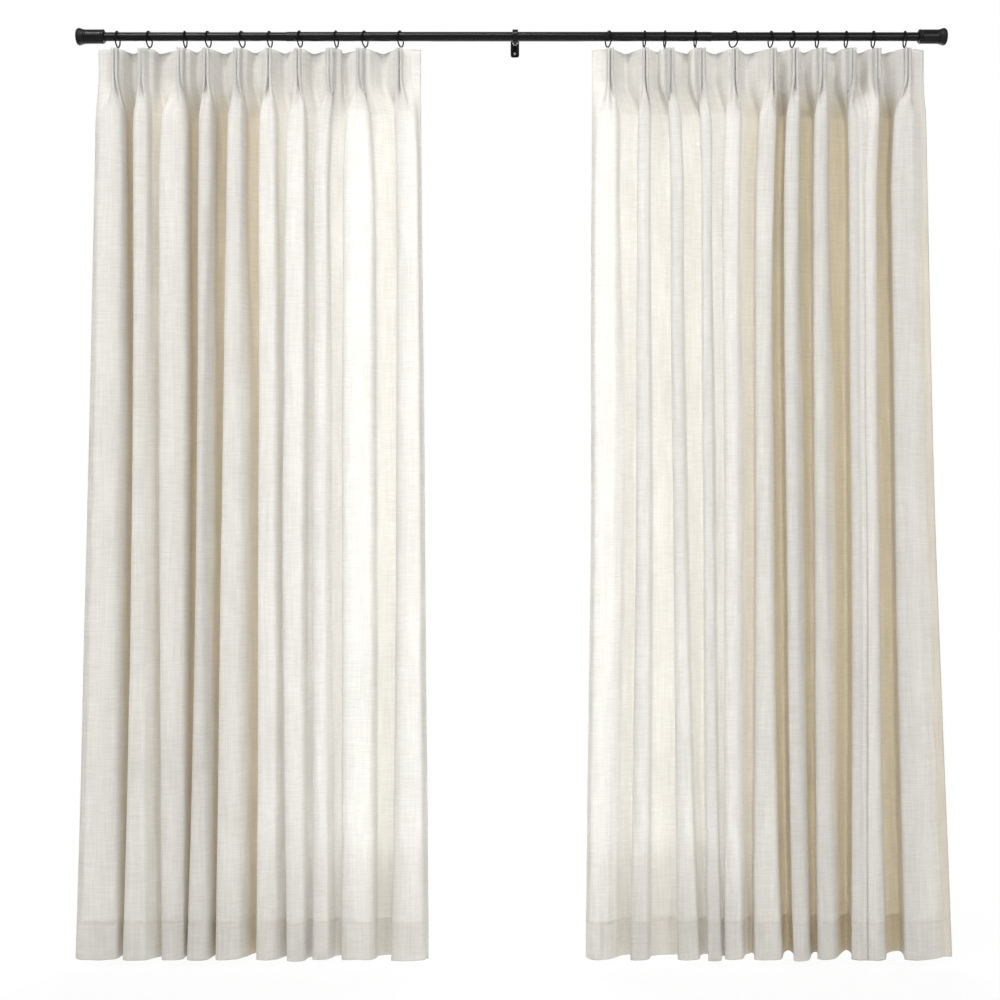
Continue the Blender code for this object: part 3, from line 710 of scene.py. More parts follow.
def make_wall_screw(word):
    """A pan-head wood screw, its cross recess painted as shade by two dark bars."""
    node = f"{word}_wall_screw"
    low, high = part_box(node)
    z = (low.z + high.z) / 2.0
    crown = low.y
    pitch, turns, root, crest, steps = 0.0018, 12, 0.0013, 0.0020, 16
    bm = bmesh.new()
    turned(bm, ((crown, 0.0), (crown + 0.00005, 0.0016), (crown + 0.0004, 0.0029),
                (crown + 0.0012, 0.0038), (crown + 0.0020, 0.0040), (crown + 0.0022, 0.0039),
                (crown + 0.0022, 0.0019), (crown + 0.0060, 0.0019), (crown + 0.0066, root),
                (high.y - 0.0060, root), (high.y, 0.0)),
           (0.0, 0.0, z), (0.0, 1.0, 0.0), steps=36)
    start = crown + 0.0062
    shape = ((0.0, root - 0.0002), (0.0006, crest), (0.0008, crest), (0.0012, root - 0.0002))
    vertices = [bm.verts.new((r, start + along, z)) for along, r in shape]
    edges = [bm.edges.new(pair) for pair in zip(vertices, vertices[1:])]
    edges.append(bm.edges.new((vertices[-1], vertices[0])))
    bmesh.ops.spin(bm, geom=vertices + edges, cent=(0.0, 0.0, z), axis=(0.0, 1.0, 0.0),
                   dvec=(0.0, pitch / steps, 0.0), angle=2.0 * math.pi * turns,
                   steps=steps * turns, use_merge=False)
    bmesh.ops.holes_fill(bm, edges=[e for e in bm.edges if e.is_boundary], sides=0)
    bmesh.ops.recalc_face_normals(bm, faces=bm.faces)
    screw = finish_mesh(f"{word}_screw", bm, finish("screw_steel"))
    place(screw, "rod_and_bracket", "bare_steel", node)
    # The cross recess is not cut into the head: two dark bars of the plug's black sit in its face as
    # painted shade
    bm = bmesh.new()
    for vec in ((0.0034, 0.0005, 0.0008), (0.0008, 0.0005, 0.0034)):
        made = bmesh.ops.create_cube(bm, size=1.0)
        bmesh.ops.scale(bm, verts=made["verts"], vec=vec)
        bmesh.ops.translate(bm, verts=made["verts"], vec=(0.0, crown + 0.0002, z))
    cross = finish_mesh(f"{word}_screw_recess_painted_shade", bm, finish("plug_plastic"))
    return place(cross, "rod_and_bracket", "bare_steel")


class CURTAINS_OT_bracket(bpy.types.Operator):
    """Build the centre bracket with its screws"""

    bl_idname = "curtains.bracket"
    bl_label = "Bracket"

    def execute(self, context):
        make_plate()
        make_arm()
        make_clamp_screw()
        for word in ("lower", "upper"):
            make_wall_screw(word)
        return {"FINISHED"}


# --------------------------------------------------------- rings and hooks

CAD_RING_RADIUS = 0.02225
HOOP_RADIUS, HOOP_WIRE = 0.0208, 0.0019
EYELET_DROP, EYELET_RADIUS, EYELET_WIRE = 0.02405, 0.0022, 0.0008
HOOK_WIRE, HOOK_BEND, PIN_BEND, HOOK_LENGTH = 0.0016, 0.0024, 0.0014, 0.042


def ring_nodes(word):
    """The CAD rings of one panel, in the order of their numbers."""
    return sorted(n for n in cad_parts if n.startswith(f"{word}_ring_"))


def ring_pose(node):
    """Centre and turn about Z of a CAD ring."""
    points = [v.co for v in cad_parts[node].data.vertices]
    top = max(p.z for p in points)
    low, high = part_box(node)
    centre = Vector(((low.x + high.x) / 2.0, (low.y + high.y) / 2.0, top - CAD_RING_RADIUS))
    level = [p for p in points if abs(p.z - centre.z) < 0.004 and p.y > centre.y]
    far = max(level, key=lambda p: (p.x - centre.x) ** 2 + (p.y - centre.y) ** 2)
    return centre, math.atan2(-(far.x - centre.x), far.y - centre.y)


def ring_to_frame(centre, turn):
    """The move from a ring's own axes to the part's frame."""
    return Matrix.Translation(centre) @ Matrix.Rotation(turn, 4, "Z")


def make_ring(node):
    """A drawn-wire ring with a small eyelet brazed under it."""
    centre, turn = ring_pose(node)
    across = Matrix.Rotation(math.pi / 2.0, 3, "Y")
    upright = Matrix.Rotation(math.pi / 2.0, 3, "Z") @ across
    bm = bmesh.new()
    for hoop, wire, low, axis, stand, sides, steps in (
            (HOOP_RADIUS, HOOP_WIRE, 0.0, (1.0, 0.0, 0.0), upright, 14, 72),
            (EYELET_RADIUS, EYELET_WIRE, -EYELET_DROP, (0.0, 1.0, 0.0), across, 10, 28)):
        circle = bmesh.ops.create_circle(bm, cap_ends=False, radius=wire, segments=sides)["verts"]
        edges = edges_of(circle)
        bmesh.ops.rotate(bm, verts=circle, cent=(0.0, 0.0, 0.0), matrix=stand)
        bmesh.ops.translate(bm, verts=circle, vec=(0.0, 0.0, low + hoop))
        bmesh.ops.spin(bm, geom=circle + edges, cent=(0.0, 0.0, low), axis=axis,
                       angle=2.0 * math.pi, steps=steps, use_merge=True)
    bmesh.ops.remove_doubles(bm, verts=bm.verts, dist=0.000002)
    bmesh.ops.recalc_face_normals(bm, faces=bm.faces)
    bmesh.ops.transform(bm, verts=bm.verts, matrix=ring_to_frame(centre, turn))
    ring = finish_mesh(node.replace("ring", "curtain_ring"), bm, finish("ring_black"))
    return place(ring, node, "black_steel", node)


def hook_path():
    """The hook's wire in its ring's axes, from its tip over the eyelet to its pin."""
    bend, pin = HOOK_BEND, PIN_BEND
    top = -EYELET_DROP - EYELET_RADIUS + EYELET_WIRE + GAP + HOOK_WIRE / 2.0 - bend
    low = top - HOOK_LENGTH
    points = [Vector((0.0, bend, top - 0.0055)), Vector((0.0, bend, top - 0.002))]
    for index in range(11):
        angle = math.pi * index / 10.0
        points.append(Vector((0.0, bend * math.cos(angle), top + bend * math.sin(angle))))
    points += [Vector((0.0, -bend, top - 0.008)), Vector((0.0, -bend, low + 0.008))]
    for index in range(9):
        angle = math.pi * index / 8.0
        points.append(Vector((0.0, -bend - pin + pin * math.cos(angle), low - pin * math.sin(angle))))
    back = -bend - 2.0 * pin
    return points + [Vector((0.0, back, low + 0.010)), Vector((0.0, back, low + 0.0235))]


def make_hook(node):
    """A zinc-plated drapery hook of round wire with a sharpened pin."""
    ring = node.replace("hook", "ring")
    centre, turn = ring_pose(ring)
    bm = bmesh.new()
    path = hook_path()
    sweep(bm, path, HOOK_WIRE / 2.0)
    tip = path[-1]
    for v in bm.verts:
        if v.co.z > tip.z - 0.0005 and v.co.y < -0.004:
            v.co.x *= 0.3
            v.co.y = lerp(tip.y, v.co.y, 0.3)
    bmesh.ops.recalc_face_normals(bm, faces=bm.faces)
    bmesh.ops.transform(bm, verts=bm.verts, matrix=ring_to_frame(centre, turn))
    hook = finish_mesh(node.replace("hook", "drapery_hook"), bm, finish("bare_steel_finish"))
    return place(hook, ring, "bare_steel", node)


class CURTAINS_OT_rings(bpy.types.Operator):
    """Build the rings that run on the rod and the hooks that hang in them"""

    bl_idname = "curtains.rings"
    bl_label = "Rings and hooks"

    def execute(self, context):
        for word, _ in SIDES:
            for node in ring_nodes(word):
                make_ring(node)
                make_hook(node.replace("ring", "hook"))
        return {"FINISHED"}


# --------------------------------------------------------------- the panels

# Columns of cloth between two hollows, and where the pleats and the folds' fronts hang
COLUMNS = 40
TOP_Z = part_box("left_panel")[1].z
DROP = TOP_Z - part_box("left_panel")[0].z
PLEAT_Y = ROD_Y - 0.0069
FRONT_Y = ROD_Y - 0.040
# A pleat's fingers: how far they stick out, half their width at the hook, and
# half the flat piece they stand on
FINGER, FINGER_BASE, FINGER_FLAT = 0.025, 0.0042, 0.0125
HEADING_BOW = 0.038


def cloth_rows():
    """How far down each row of the cloth is: close together in the heading and the hem."""
    rows = [0.0]
    while rows[-1] < DROP - 0.001:
        at = rows[-1]
        if at < 0.26:
            step = 0.010
        elif at < 0.5:
            step = 0.024
        elif DROP - 0.113 < at < DROP - 0.089:
            step = 0.003
        elif at > DROP - 0.16:
            step = 0.014
        else:
            step = 0.036
        rows.append(min(at + step, DROP))
    if rows[-1] - rows[-2] < 0.004:
        rows[-2] = (rows[-3] + rows[-1]) / 2.0
    return rows


def smooth_line(points, per_piece=8):
    """Catmull-Rom curve through points, with the index where each given point falls."""
    line = []
    last = len(points) - 1
    for index in range(last):
        p0 = points[max(index - 1, 0)]
        p1, p2 = points[index], points[index + 1]
        p3 = points[min(index + 2, last)]
        for step in range(per_piece):
            t = step / per_piece
            line.append(0.5 * ((2.0 * p1) + (p2 - p0) * t + (2.0 * p0 - 5.0 * p1 + 4.0 * p2 - p3) * t * t
                               + (3.0 * p1 - p0 - 3.0 * p2 + p3) * t * t * t))
    line.append(points[-1].copy())
    return line


def spread_evenly(line, count):
    """Points at equal distances along a line, both ends included, and its length."""
    lengths = [0.0]
    for first, second in zip(line, line[1:]):
        lengths.append(lengths[-1] + (second - first).length)
    total = lengths[-1]
    made, index = [], 0
    for number in range(count + 1):
        target = total * number / count
        while index < len(lengths) - 2 and lengths[index + 1] < target:
            index += 1
        piece = lengths[index + 1] - lengths[index]
        share = (target - lengths[index]) / piece if piece > 0.0 else 0.0
        made.append(line[index].lerp(line[index + 1], min(max(share, 0.0), 1.0)))
    return made, total


class Hang:
    """How one panel hangs: its outline seen from above at any height."""

    def __init__(self, word, folds, edges, leans):
        self.folds = folds
        self.edges = edges
        self.pleats = sorted(ring_pose(n)[0].x for n in ring_nodes(word))
        self.leans = leans
        self.seed = 3.0 if word == "left" else 41.0

    def edge(self, which, drop):
        """X of the left (0) or right (1) edge."""
        return through_three(self.edges[which], (0.0, DROP / 2.0, DROP), drop)

    def fold(self, index, drop):
        """Left and right side of a fold."""
        at = max(drop, SHOULDER_DROP)
        places = (SHOULDER_DROP, DROP / 2.0, DROP - 0.04)
        spec = self.folds[index]
        sides = [through_three([spec[row][which] for row in range(3)], places, at) for which in (0, 1)]
        if drop < SHOULDER_DROP:
            share = 0.55 * smooth_step((SHOULDER_DROP - drop) / (SHOULDER_DROP - PLEAT_STITCHED))
            tip = self.pleats[index] + self.leans[index]
            sides = [lerp(sides[0], min(tip - 0.017, sides[0] + 0.02), share),
                     lerp(sides[1], max(tip + 0.017, sides[1] - 0.02), share)]
            gap = 0.008
            if index > 0:
                sides[0] = max(sides[0], self.pleats[index - 1] + gap)
            if index + 1 < len(self.folds):
                sides[1] = min(sides[1], self.pleats[index + 1] - gap)
        return sides

    def hollow_x(self, index, drop):
        """X of the middle of the hollow after a fold."""
        return (self.fold(index, drop)[1] + self.fold(index + 1, drop)[0]) / 2.0

    def front(self, index, drop):
        """Y of the front of a fold, a little different for each."""
        wave = 0.005 * math.sin(index * 2.4 + self.seed)
        flare = 0.004 * smooth_step(drop / DROP) * math.sin(index * 1.7 + 1.0)
        return FRONT_Y + wave * smooth_step((drop - 0.2) / 0.5) + flare

    def open_outline(self, drop, depth):
        """The folds below the pleats, one list of points from hollow to hollow for each fold."""
        periods = []
        count = len(self.folds)
        start = None
        for index in range(count):
            a, b = self.fold(index, drop)
            front = self.front(index, drop)
            tuck, slope, share = self.folds[index][3:6]
            slope *= 0.42 + 0.58 * smooth_step((drop - 0.30) / 0.75)
            width, deep = b - a, depth * share
            points = []
            if index == 0:
                edge = self.edge(0, drop)
                points += [Vector((edge, front + 0.026)), Vector((edge + 0.003, front + 0.017)),
                           Vector((lerp(edge, a, 0.75), front + 0.007))]
            else:
                before = depth * self.folds[index - 1][5]
                points += [start, Vector((a + tuck, front + 0.66 * before)),
                           Vector((a + 0.5 * tuck, front + 0.36 * before)),
                           Vector((a - 0.0005, front + 0.12 * before))]
            points += [Vector((a + 0.16 * width, front + 0.0015)), Vector((a + 0.45 * width, front)),
                       Vector((a + 0.72 * width, front + 0.003))]
            if index + 1 < count:
                gap = self.fold(index + 1, drop)[0] - b
                middle = Vector((b + gap + 0.4 * self.folds[index + 1][3], front + deep))
                points += [Vector((b - 0.04 * width, front + 0.13 * deep)),
                           Vector((b + 0.34 * slope * gap, front + 0.42 * deep)),
                           Vector((b + 0.72 * slope * gap, front + 0.76 * deep)), middle]
                start = middle
            else:
                edge = self.edge(1, drop)
                reach = edge - b
                points += [Vector((b + 0.1 * reach, front + 0.008)),
                           Vector((b + 0.6 * reach, front + 0.018 + 0.2 * reach)),
                           Vector((edge, front + 0.022 + 0.2 * reach))]
            periods.append(points)
        return periods

    def heading_outline(self):
        """The stitched heading: two fingers at each hook, bowed back between."""
        periods = []
        count = len(self.pleats)
        start = None
        for index in range(count):
            x, lean = self.pleats[index], self.leans[index]
            points = []
            if index == 0:
                edge = self.edge(0, 0.0)
                points += [Vector((edge, PLEAT_Y + 0.008)), Vector((lerp(edge, x, 0.45), PLEAT_Y + 0.0015)),
                           Vector((x - 0.012, PLEAT_Y + 0.0005))]
            else:
                points += [start, Vector((lerp(start.x, x - 0.012, 0.55), lerp(start.y, PLEAT_Y, 0.50))),
                           Vector((x - FINGER_FLAT, PLEAT_Y + 0.0006))]
            for part in (-1, 1):
                outline = [
                    (part * FINGER_BASE * 1.25, -0.002), (part * 0.0062 + 0.45 * lean, -0.45 * FINGER),
                    (part * 0.0086 + lean, -0.86 * FINGER), (part * 0.0058 + lean, -FINGER),
                    (part * 0.0018 + lean, -0.90 * FINGER), (part * 0.0010 + 0.45 * lean, -0.42 * FINGER),
                ]
                if part > 0:
                    outline.reverse()
                points += [Vector((x + dx, PLEAT_Y + dy)) for dx, dy in outline]
                if part < 0:
                    points.append(Vector((x, PLEAT_Y - 0.0022)))
            if index + 1 < count:
                following = self.pleats[index + 1]
                hollow = min(max(self.hollow_x(index, 0.1), x + 0.016), following - 0.016)
                width = following - x
                bow = HEADING_BOW * min(width / 0.075, 1.15)
                middle = Vector((hollow, PLEAT_Y + bow))
                points += [Vector((x + FINGER_FLAT, PLEAT_Y + 0.0006)),
                           Vector((lerp(hollow, x + 0.012, 0.55), lerp(middle.y, PLEAT_Y, 0.50))), middle]
                start = middle
            else:
                edge = self.edge(1, 0.0)
                points += [Vector((x + 0.012, PLEAT_Y + 0.0005)),
                           Vector((lerp(edge, x, 0.45), PLEAT_Y + 0.0015)), Vector((edge, PLEAT_Y + 0.008))]
            periods.append(points)
        return periods

    def sampled(self, periods):
        """The same number of points for each fold, evenly along the cloth, and each fold's length."""
        whole, bounds = [], [0]
        for points in periods:
            whole += points if not whole else points[1:]
            bounds.append(len(whole) - 1)
        line = smooth_line(whole)
        made, lengths = [], []
        for first, second in zip(bounds, bounds[1:]):
            piece, length = spread_evenly(line[first * 8:second * 8 + 1], COLUMNS)
            made += piece if not made else piece[1:]
            lengths.append(length)
        return made, lengths

    def hang(self, depth_wanted):
        """The cloth's points row by row, its flat widths and its rows."""
        heading, heading_lengths = self.sampled(self.heading_outline())
        rows = cloth_rows()
        width = sum(heading_lengths)
        grid = []
        for drop in rows:
            opened = smooth_step((drop - PLEAT_STITCHED) / (PLEAT_OPEN - PLEAT_STITCHED))
            if opened > 0.0:
                low, high = 0.75 * depth_wanted, 1.25 * depth_wanted
                for _ in range(7):
                    middle = (low + high) / 2.0
                    row, lengths = self.sampled(self.open_outline(drop, middle))
                    low, high = (middle, high) if sum(lengths) < width else (low, middle)
                row = [lerp(p, q, opened) for p, q in zip(heading, row)]
            else:
                row = [p.copy() for p in heading]
            grid.append(row)
        flat = [0.0]
        for length in heading_lengths:
            for _ in range(COLUMNS):
                flat.append(flat[-1] + length / COLUMNS)
        return self.ruffled(grid, flat, rows), flat, rows

    def ruffled(self, grid, flat, rows):
        """Small creases and drifts, growing down from the heading."""
        made = []
        hem_line = DROP - bpy.context.scene.curtain_cloth.hem_depth
        for drop, row in zip(rows, grid):
            loose = smooth_step((drop - 0.03) / 0.5)
            low = smooth_step((drop - DROP + 0.5) / 0.5)
            seam = 0.0030 * math.exp(-((drop - hem_line) / 0.004) ** 2)
            line = []
            for u, p in zip(flat, row):
                slow = noise.noise(Vector((u * 7.0, drop * 1.3, self.seed)))
                crease = noise.noise(Vector((u * 26.0, drop * 2.1, self.seed + 9.0)))
                fine = noise.noise(Vector((u * 70.0, drop * 9.0, self.seed + 17.0)))
                side = noise.noise(Vector((u * 3.0, drop * 1.1, self.seed + 30.0)))
                puff = ((0.0034 * slow + 0.0026 * crease) * loose + 0.0005 * fine
                        + low * (0.0035 * crease + 0.0012 * fine))
                puff += seam * (0.7 + 1.1 * fine + 0.5 * crease)
                ahead = min(max((PLEAT_Y - 0.004 - p.y) / 0.018, 0.0), 1.0)
                sag = 0.0024 * ahead * (1.0 - smooth_step(drop / 0.05)) + 0.0006 * (1.0 + fine)
                line.append(Vector((p.x + 0.004 * side * loose, p.y + puff, TOP_Z - drop - sag)))
            made.append(line)
        return made


def back_normals(row):
    """Unit vectors to the back of the cloth along one row."""
    made = []
    for index in range(len(row)):
        ahead = row[min(index + 1, len(row) - 1)]
        behind = row[max(index - 1, 0)]
        run = ahead - behind
        made.append(Vector((-run.y, run.x, 0.0)).normalized())
    return made


class Cloth:
    """A hung panel: where any place on the flat cloth is."""

    def __init__(self, hang, depth):
        self.points, self.flat, self.rows = hang.hang(depth)
        self.backs = [back_normals(row) for row in self.points]
        self.width = self.flat[-1]

    def at(self, column, row, offset):
        """A grid point moved towards the back."""
        return self.points[row][column] + self.backs[row][column] * offset

    def anywhere(self, u, drop, offset):
        """A place between grid points."""
        column = 0
        while column < len(self.flat) - 2 and self.flat[column + 1] < u:
            column += 1
        row = 0
        while row < len(self.rows) - 2 and self.rows[row + 1] < drop:
            row += 1
        s = (u - self.flat[column]) / (self.flat[column + 1] - self.flat[column])
        t = (drop - self.rows[row]) / (self.rows[row + 1] - self.rows[row])
        top = self.at(column, row, offset).lerp(self.at(column + 1, row, offset), s)
        low = self.at(column, row + 1, offset).lerp(self.at(column + 1, row + 1, offset), s)
        return top.lerp(low, t)

    def depth(self, column, row):
        """Share of painted shade: 0 at the front of the folds, 1 deep in a hollow of the outer half, less
        towards the inner half, and a painted shade line along the hem's seam.
        """
        point, drop = self.points[row][column], self.rows[row]
        hollow = (smooth_step((point.y - FRONT_Y - 0.016) / 0.044) * smooth_step((drop - 0.09) / 0.11)
                  * (0.15 + 0.85 * smooth_step((abs(point.x) - 0.55) / 0.20)))
        hem_line = DROP - bpy.context.scene.curtain_cloth.hem_depth
        return max(hollow, 0.30 * math.exp(-((drop - hem_line) / 0.003) ** 2))


def cut_cloth(cloth, name, columns, rows, offset, material_name):
    """Cut a rectangle of the panel's flat cloth, lay it on the hung shape and thicken it."""
    settings = bpy.context.scene.curtain_cloth
    c0, c1 = columns
    r0, r1 = rows
    wide, high = c1 - c0, r1 - r0
    bm = bmesh.new()
    flat_map = bm.loops.layers.uv.new("cloth")
    # Each point's share of painted shade, read by the linen's colour as the hollow attribute
    hollow = bm.verts.layers.float.new("hollow")
    made = bmesh.ops.create_grid(bm, x_segments=wide, y_segments=high, size=0.5)
    cells = {}
    for v in made["verts"]:
        column = c0 + round((v.co.x + 0.5) * wide)
        row = r0 + round((0.5 - v.co.y) * high)
        cells[v] = (column, row)
        v[hollow] = cloth.depth(column, row)
    for v, (column, row) in cells.items():
        v.co = cloth.at(column, row, offset)
    for face in bm.faces:
        for loop in face.loops:
            column, row = cells[loop.vert]
            loop[flat_map].uv = (cloth.flat[column], -cloth.rows[row])
    piece = finish_mesh(name, bm, finish(material_name), None)
    thick = piece.modifiers.new("thickness", "SOLIDIFY")
    thick.thickness = settings.thickness
    thick.offset = 0.0
    return piece


def sew(cloth, name, lines):
    """Short stitches along lines given as (start, stop, offset) on the flat cloth."""
    whole, chunk = bmesh.new(), bmesh.new()
    pitch, length, thick = 0.0062, 0.0036, 0.0005

    def keep_chunk():
        part = bpy.data.meshes.new("chunk")
        chunk.to_mesh(part)
        whole.from_mesh(part)
        bpy.data.meshes.remove(part)
        chunk.clear()

    for start, stop, offset in lines:
        start, stop = Vector(start), Vector(stop)
        count = int((stop - start).length / pitch)
        for index in range(count):
            first = start.lerp(stop, (index + 0.2) / count)
            second = first + (stop - start).normalized() * length
            p = cloth.anywhere(first.x, first.y, offset)
            q = cloth.anywhere(second.x, min(second.y, DROP - 0.001), offset)
            run = q - p
            if run.length < 0.0005:
                continue
            turn = Vector((0.0, 0.0, 1.0)).rotation_difference(run).to_matrix().to_4x4()
            size = Matrix.Diagonal((thick, thick, run.length / 2.0, 1.0))
            bmesh.ops.create_icosphere(chunk, subdivisions=1, radius=1.0,
                                       matrix=Matrix.Translation((p + q) / 2.0) @ turn @ size)
            if index % 40 == 39:
                keep_chunk()
        keep_chunk()
    chunk.free()
    return finish_mesh(name, whole, finish("linen_thread"), None)


def make_panel(word, folds, edges, leans):
    """One panel: its cloth, heading facing, hems and stitching."""
    settings = bpy.context.scene.curtain_cloth
    cloth = Cloth(Hang(word, folds, edges, leans), settings.fold_depth)
    last_column, last_row = len(cloth.flat) - 1, len(cloth.rows) - 1
    behind = settings.thickness + 0.00025
    main = cut_cloth(cloth, f"{word}_curtain", (0, last_column), (0, last_row), 0.0, "linen_cloth")
    facing_row = min(range(len(cloth.rows)), key=lambda r: abs(cloth.rows[r] - settings.facing_depth))
    facing = cut_cloth(cloth, f"{word}_heading_facing", (0, last_column), (0, facing_row), behind,
                       "linen_layer")
    hem_row = min(range(len(cloth.rows)), key=lambda r: abs(cloth.rows[r] - DROP + settings.hem_depth))
    hem = cut_cloth(cloth, f"{word}_bottom_hem", (0, last_column), (hem_row, last_row), behind,
                    "linen_layer")
    inside = sum(1 for u in cloth.flat if u <= settings.side_hem)
    first_hem = cut_cloth(cloth, f"{word}_side_hem_a", (0, inside), (facing_row, hem_row), behind,
                          "linen_layer")
    second_hem = cut_cloth(cloth, f"{word}_side_hem_b", (last_column - inside, last_column),
                           (facing_row, hem_row), behind, "linen_layer")
    front, back = -settings.thickness / 2.0 - 0.0001, behind + settings.thickness / 2.0 + 0.0001
    hem_line = cloth.rows[hem_row] + 0.003
    facing_line = cloth.rows[facing_row] - 0.003
    seam_a, seam_b = cloth.flat[inside] - 0.003, cloth.flat[last_column - inside] + 0.003
    lines = []
    for offset in (front, back):
        lines.append(((0.004, hem_line), (cloth.width - 0.004, hem_line), offset))
        lines.append(((seam_a, facing_line + 0.01), (seam_a, hem_line - 0.01), offset))
        lines.append(((seam_b, facing_line + 0.01), (seam_b, hem_line - 0.01), offset))
    lines.append(((0.004, facing_line), (cloth.width - 0.004, facing_line), back))
    stitches = sew(cloth, f"{word}_stitching", lines)
    extra = (facing, hem, first_hem, second_hem, stitches)
    for piece in (main, *extra):
        place(piece, "rod_and_bracket", "linen")
        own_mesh(piece)
    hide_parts(f"{word}_panel")
    return main


class CURTAINS_OT_panels(bpy.types.Operator):
    """Build the two linen panels with their hems and stitching"""

    bl_idname = "curtains.panels"
    bl_label = "Panels"

    def execute(self, context):
        make_panel("left", LEFT_FOLDS, LEFT_EDGES, LEFT_LEANS)
        make_panel("right", RIGHT_FOLDS, RIGHT_EDGES, RIGHT_LEANS)
        return {"FINISHED"}


# ---------------------------------------------------------------- the stage


def make_lamp(name, power, location, target, size, size_y=None, spread=math.pi, colour=(1, 1, 1)):
    """A soft box that the camera doesn't see."""
    lamp = bpy.data.lights.new(name, "AREA")
    lamp.shape = "RECTANGLE"
    lamp.size = size
    lamp.size_y = size_y or size
    lamp.energy = power
    lamp.spread = spread
    lamp.color = colour
    obj = bpy.data.objects.new(name, lamp)
    obj.location = location
    obj.rotation_mode = "QUATERNION"
    obj.rotation_quaternion = (Vector(target) - Vector(location)).to_track_quat("-Z", "Y")
    obj.visible_camera = False
    bpy.context.scene.collection.objects.link(obj)


def make_floor():
    """A round pale floor that fades to white at its rim."""
    low, _ = CAD_BOUNDS
    bm = bmesh.new()
    bmesh.ops.create_circle(bm, cap_ends=True, radius=9.0, segments=96)
    bmesh.ops.translate(bm, verts=bm.verts, vec=(0.0, 0.0, low.z - 0.022))
    made, tree, output = material("pale_floor")
    where = tree.nodes.new("ShaderNodeTexCoord").outputs["Object"]
    near = add_node(tree, "ShaderNodeVectorMath", {0: where}, operation="LENGTH").outputs["Value"]
    fade = ramp(tree, near, 1.6, 3.0)
    camera = tree.nodes.new("ShaderNodeLightPath").outputs["Is Camera Ray"]
    matt = add_node(tree, "ShaderNodeBsdfDiffuse", {"Color": (0.86, 0.86, 0.85, 1.0)})
    white = add_node(tree, "ShaderNodeEmission", {"Color": (1.0, 1.0, 1.0, 1.0), "Strength": 1.0})
    share = math_node(tree, "MULTIPLY", camera, math_node(tree, "MAXIMUM", fade, 0.90))
    tree.links.new(mix_shaders(tree, share, matt.outputs["BSDF"], white.outputs["Emission"]),
                   output.inputs["Surface"])
    floor = finish_mesh("floor", bm, made, None)


def make_surroundings(strength):
    """White behind everything, and a dimmer even light from all round."""
    world = bpy.data.worlds.new("studio")
    bpy.context.scene.world = world
    world.use_nodes = True
    tree = world.node_tree
    tree.nodes.clear()
    camera = tree.nodes.new("ShaderNodeLightPath").outputs["Is Camera Ray"]
    seen = add_node(tree, "ShaderNodeBackground", {"Color": (1.0, 1.0, 1.0, 1.0), "Strength": 1.0})
    felt = add_node(tree, "ShaderNodeBackground", {"Color": (0.97, 0.985, 1.0, 1.0), "Strength": strength})
    output = tree.nodes.new("ShaderNodeOutputWorld")
    tree.links.new(mix_shaders(tree, camera, felt.outputs["Background"], seen.outputs["Background"]),
                   output.inputs["Surface"])


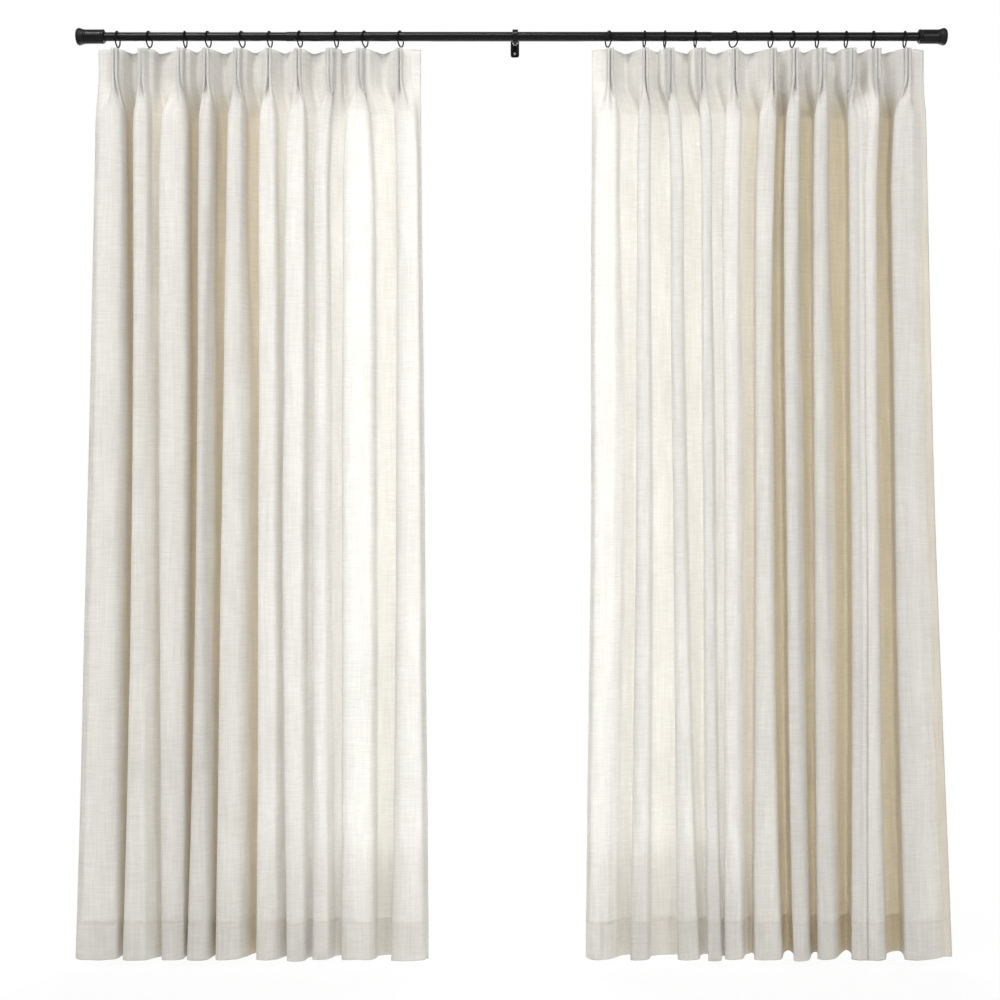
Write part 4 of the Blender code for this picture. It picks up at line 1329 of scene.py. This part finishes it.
class CURTAINS_OT_stage(bpy.types.Operator):
    """Build the floor, the lamps and the camera"""

    bl_idname = "curtains.stage"
    bl_label = "Stage"

    def execute(self, context):
        settings = context.scene.curtain_stage
        context.scene.view_settings.view_transform = "Standard"
        make_surroundings(settings.sky)
        make_floor()
        middle = Vector((-0.01, ROD_Y, -1.2476))
        make_lamp("key", settings.key, (-2.7, -3.6, 2.6), middle, 2.4, 1.8)
        make_lamp("fill", settings.fill, (2.6, -4.2, 0.6), middle, 2.8, 2.4)
        make_lamp("back", settings.back, (0.0, 1.7, -1.3), middle, 3.4, 3.2)
        day = (0.82, 0.91, 1.0)
        # Behind each panel's inner half, from its outer side (daylight, pane) to its inner edge
        for word, outer, pane, inner in (("left", -0.70, -0.546, -0.235), ("right", 0.66, 0.567, 0.192)):
            for name, power, edge, y, top, bottom, spread in (
                    ("window", settings.window, pane, -0.025, -0.245, -2.180, 50.0),
                    ("daylight", settings.daylight, outer, 0.020, 0.020, -2.240, 100.0)):
                place_at = Vector(((edge + inner) / 2.0, y, (top + bottom) / 2.0))
                width = abs(edge - inner)
                make_lamp(f"{name}_{word}", power * width, place_at, place_at - Vector((0.0, 1.0, 0.0)),
                          width, top - bottom, math.radians(spread), day)
        make_lamp("strip", settings.strip, (-0.9, -2.15, 2.6), (-0.4, ROD_Y, 0.0), 3.0, 0.30,
                  math.radians(120.0))
        camera = bpy.data.cameras.new("camera")
        camera.lens = settings.lens
        camera.sensor_width = 36.0
        obj = bpy.data.objects.new("camera", camera)
        obj.location = (middle.x - 0.031, middle.y - settings.distance, middle.z)
        obj.rotation_euler = (math.pi / 2.0, 0.0, 0.0)
        context.scene.collection.objects.link(obj)
        context.scene.camera = obj
        return {"FINISHED"}


# ------------------------------------------------------------------ add-on


STEPS = (CURTAINS_OT_rod, CURTAINS_OT_end_jacks, CURTAINS_OT_bracket, CURTAINS_OT_rings,
         CURTAINS_OT_panels, CURTAINS_OT_stage)


class CURTAINS_PT_sidebar(bpy.types.Panel):
    """Sizes, colours and steps of the curtains"""

    bl_idname = "CURTAINS_PT_sidebar"
    bl_label = "Curtains"
    bl_space_type = "VIEW_3D"
    bl_region_type = "UI"
    bl_category = "Curtains"

    def draw(self, context):
        for group in (context.scene.curtain_cloth, context.scene.curtain_hardware,
                      context.scene.curtain_stage):
            box = self.layout.box()
            for name in group.__annotations__:
                box.prop(group, name)
        for step in STEPS:
            self.layout.operator(step.bl_idname)


GROUPS = (("curtain_cloth", ClothSettings), ("curtain_hardware", HardwareSettings),
          ("curtain_stage", StageSettings))


def register():
    """Register the settings, the steps and the panel."""
    for name, group in GROUPS:
        bpy.utils.register_class(group)
        setattr(bpy.types.Scene, name, PointerProperty(type=group))
    for step in (*STEPS, CURTAINS_PT_sidebar):
        bpy.utils.register_class(step)


def unregister():
    """Take everything out again."""
    for step in reversed((*STEPS, CURTAINS_PT_sidebar)):
        bpy.utils.unregister_class(step)
    for name, group in reversed(GROUPS):
        delattr(bpy.types.Scene, name)
        bpy.utils.unregister_class(group)


def main():
    """Build everything in order."""
    register()
    for step in (bpy.ops.curtains.rod, bpy.ops.curtains.end_jacks, bpy.ops.curtains.bracket,
                 bpy.ops.curtains.rings, bpy.ops.curtains.panels, bpy.ops.curtains.stage):
        if step() != {"FINISHED"}:
            raise RuntimeError(f"{step.idname()} did not finish")
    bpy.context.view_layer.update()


if __name__ == "__main__":
    main()
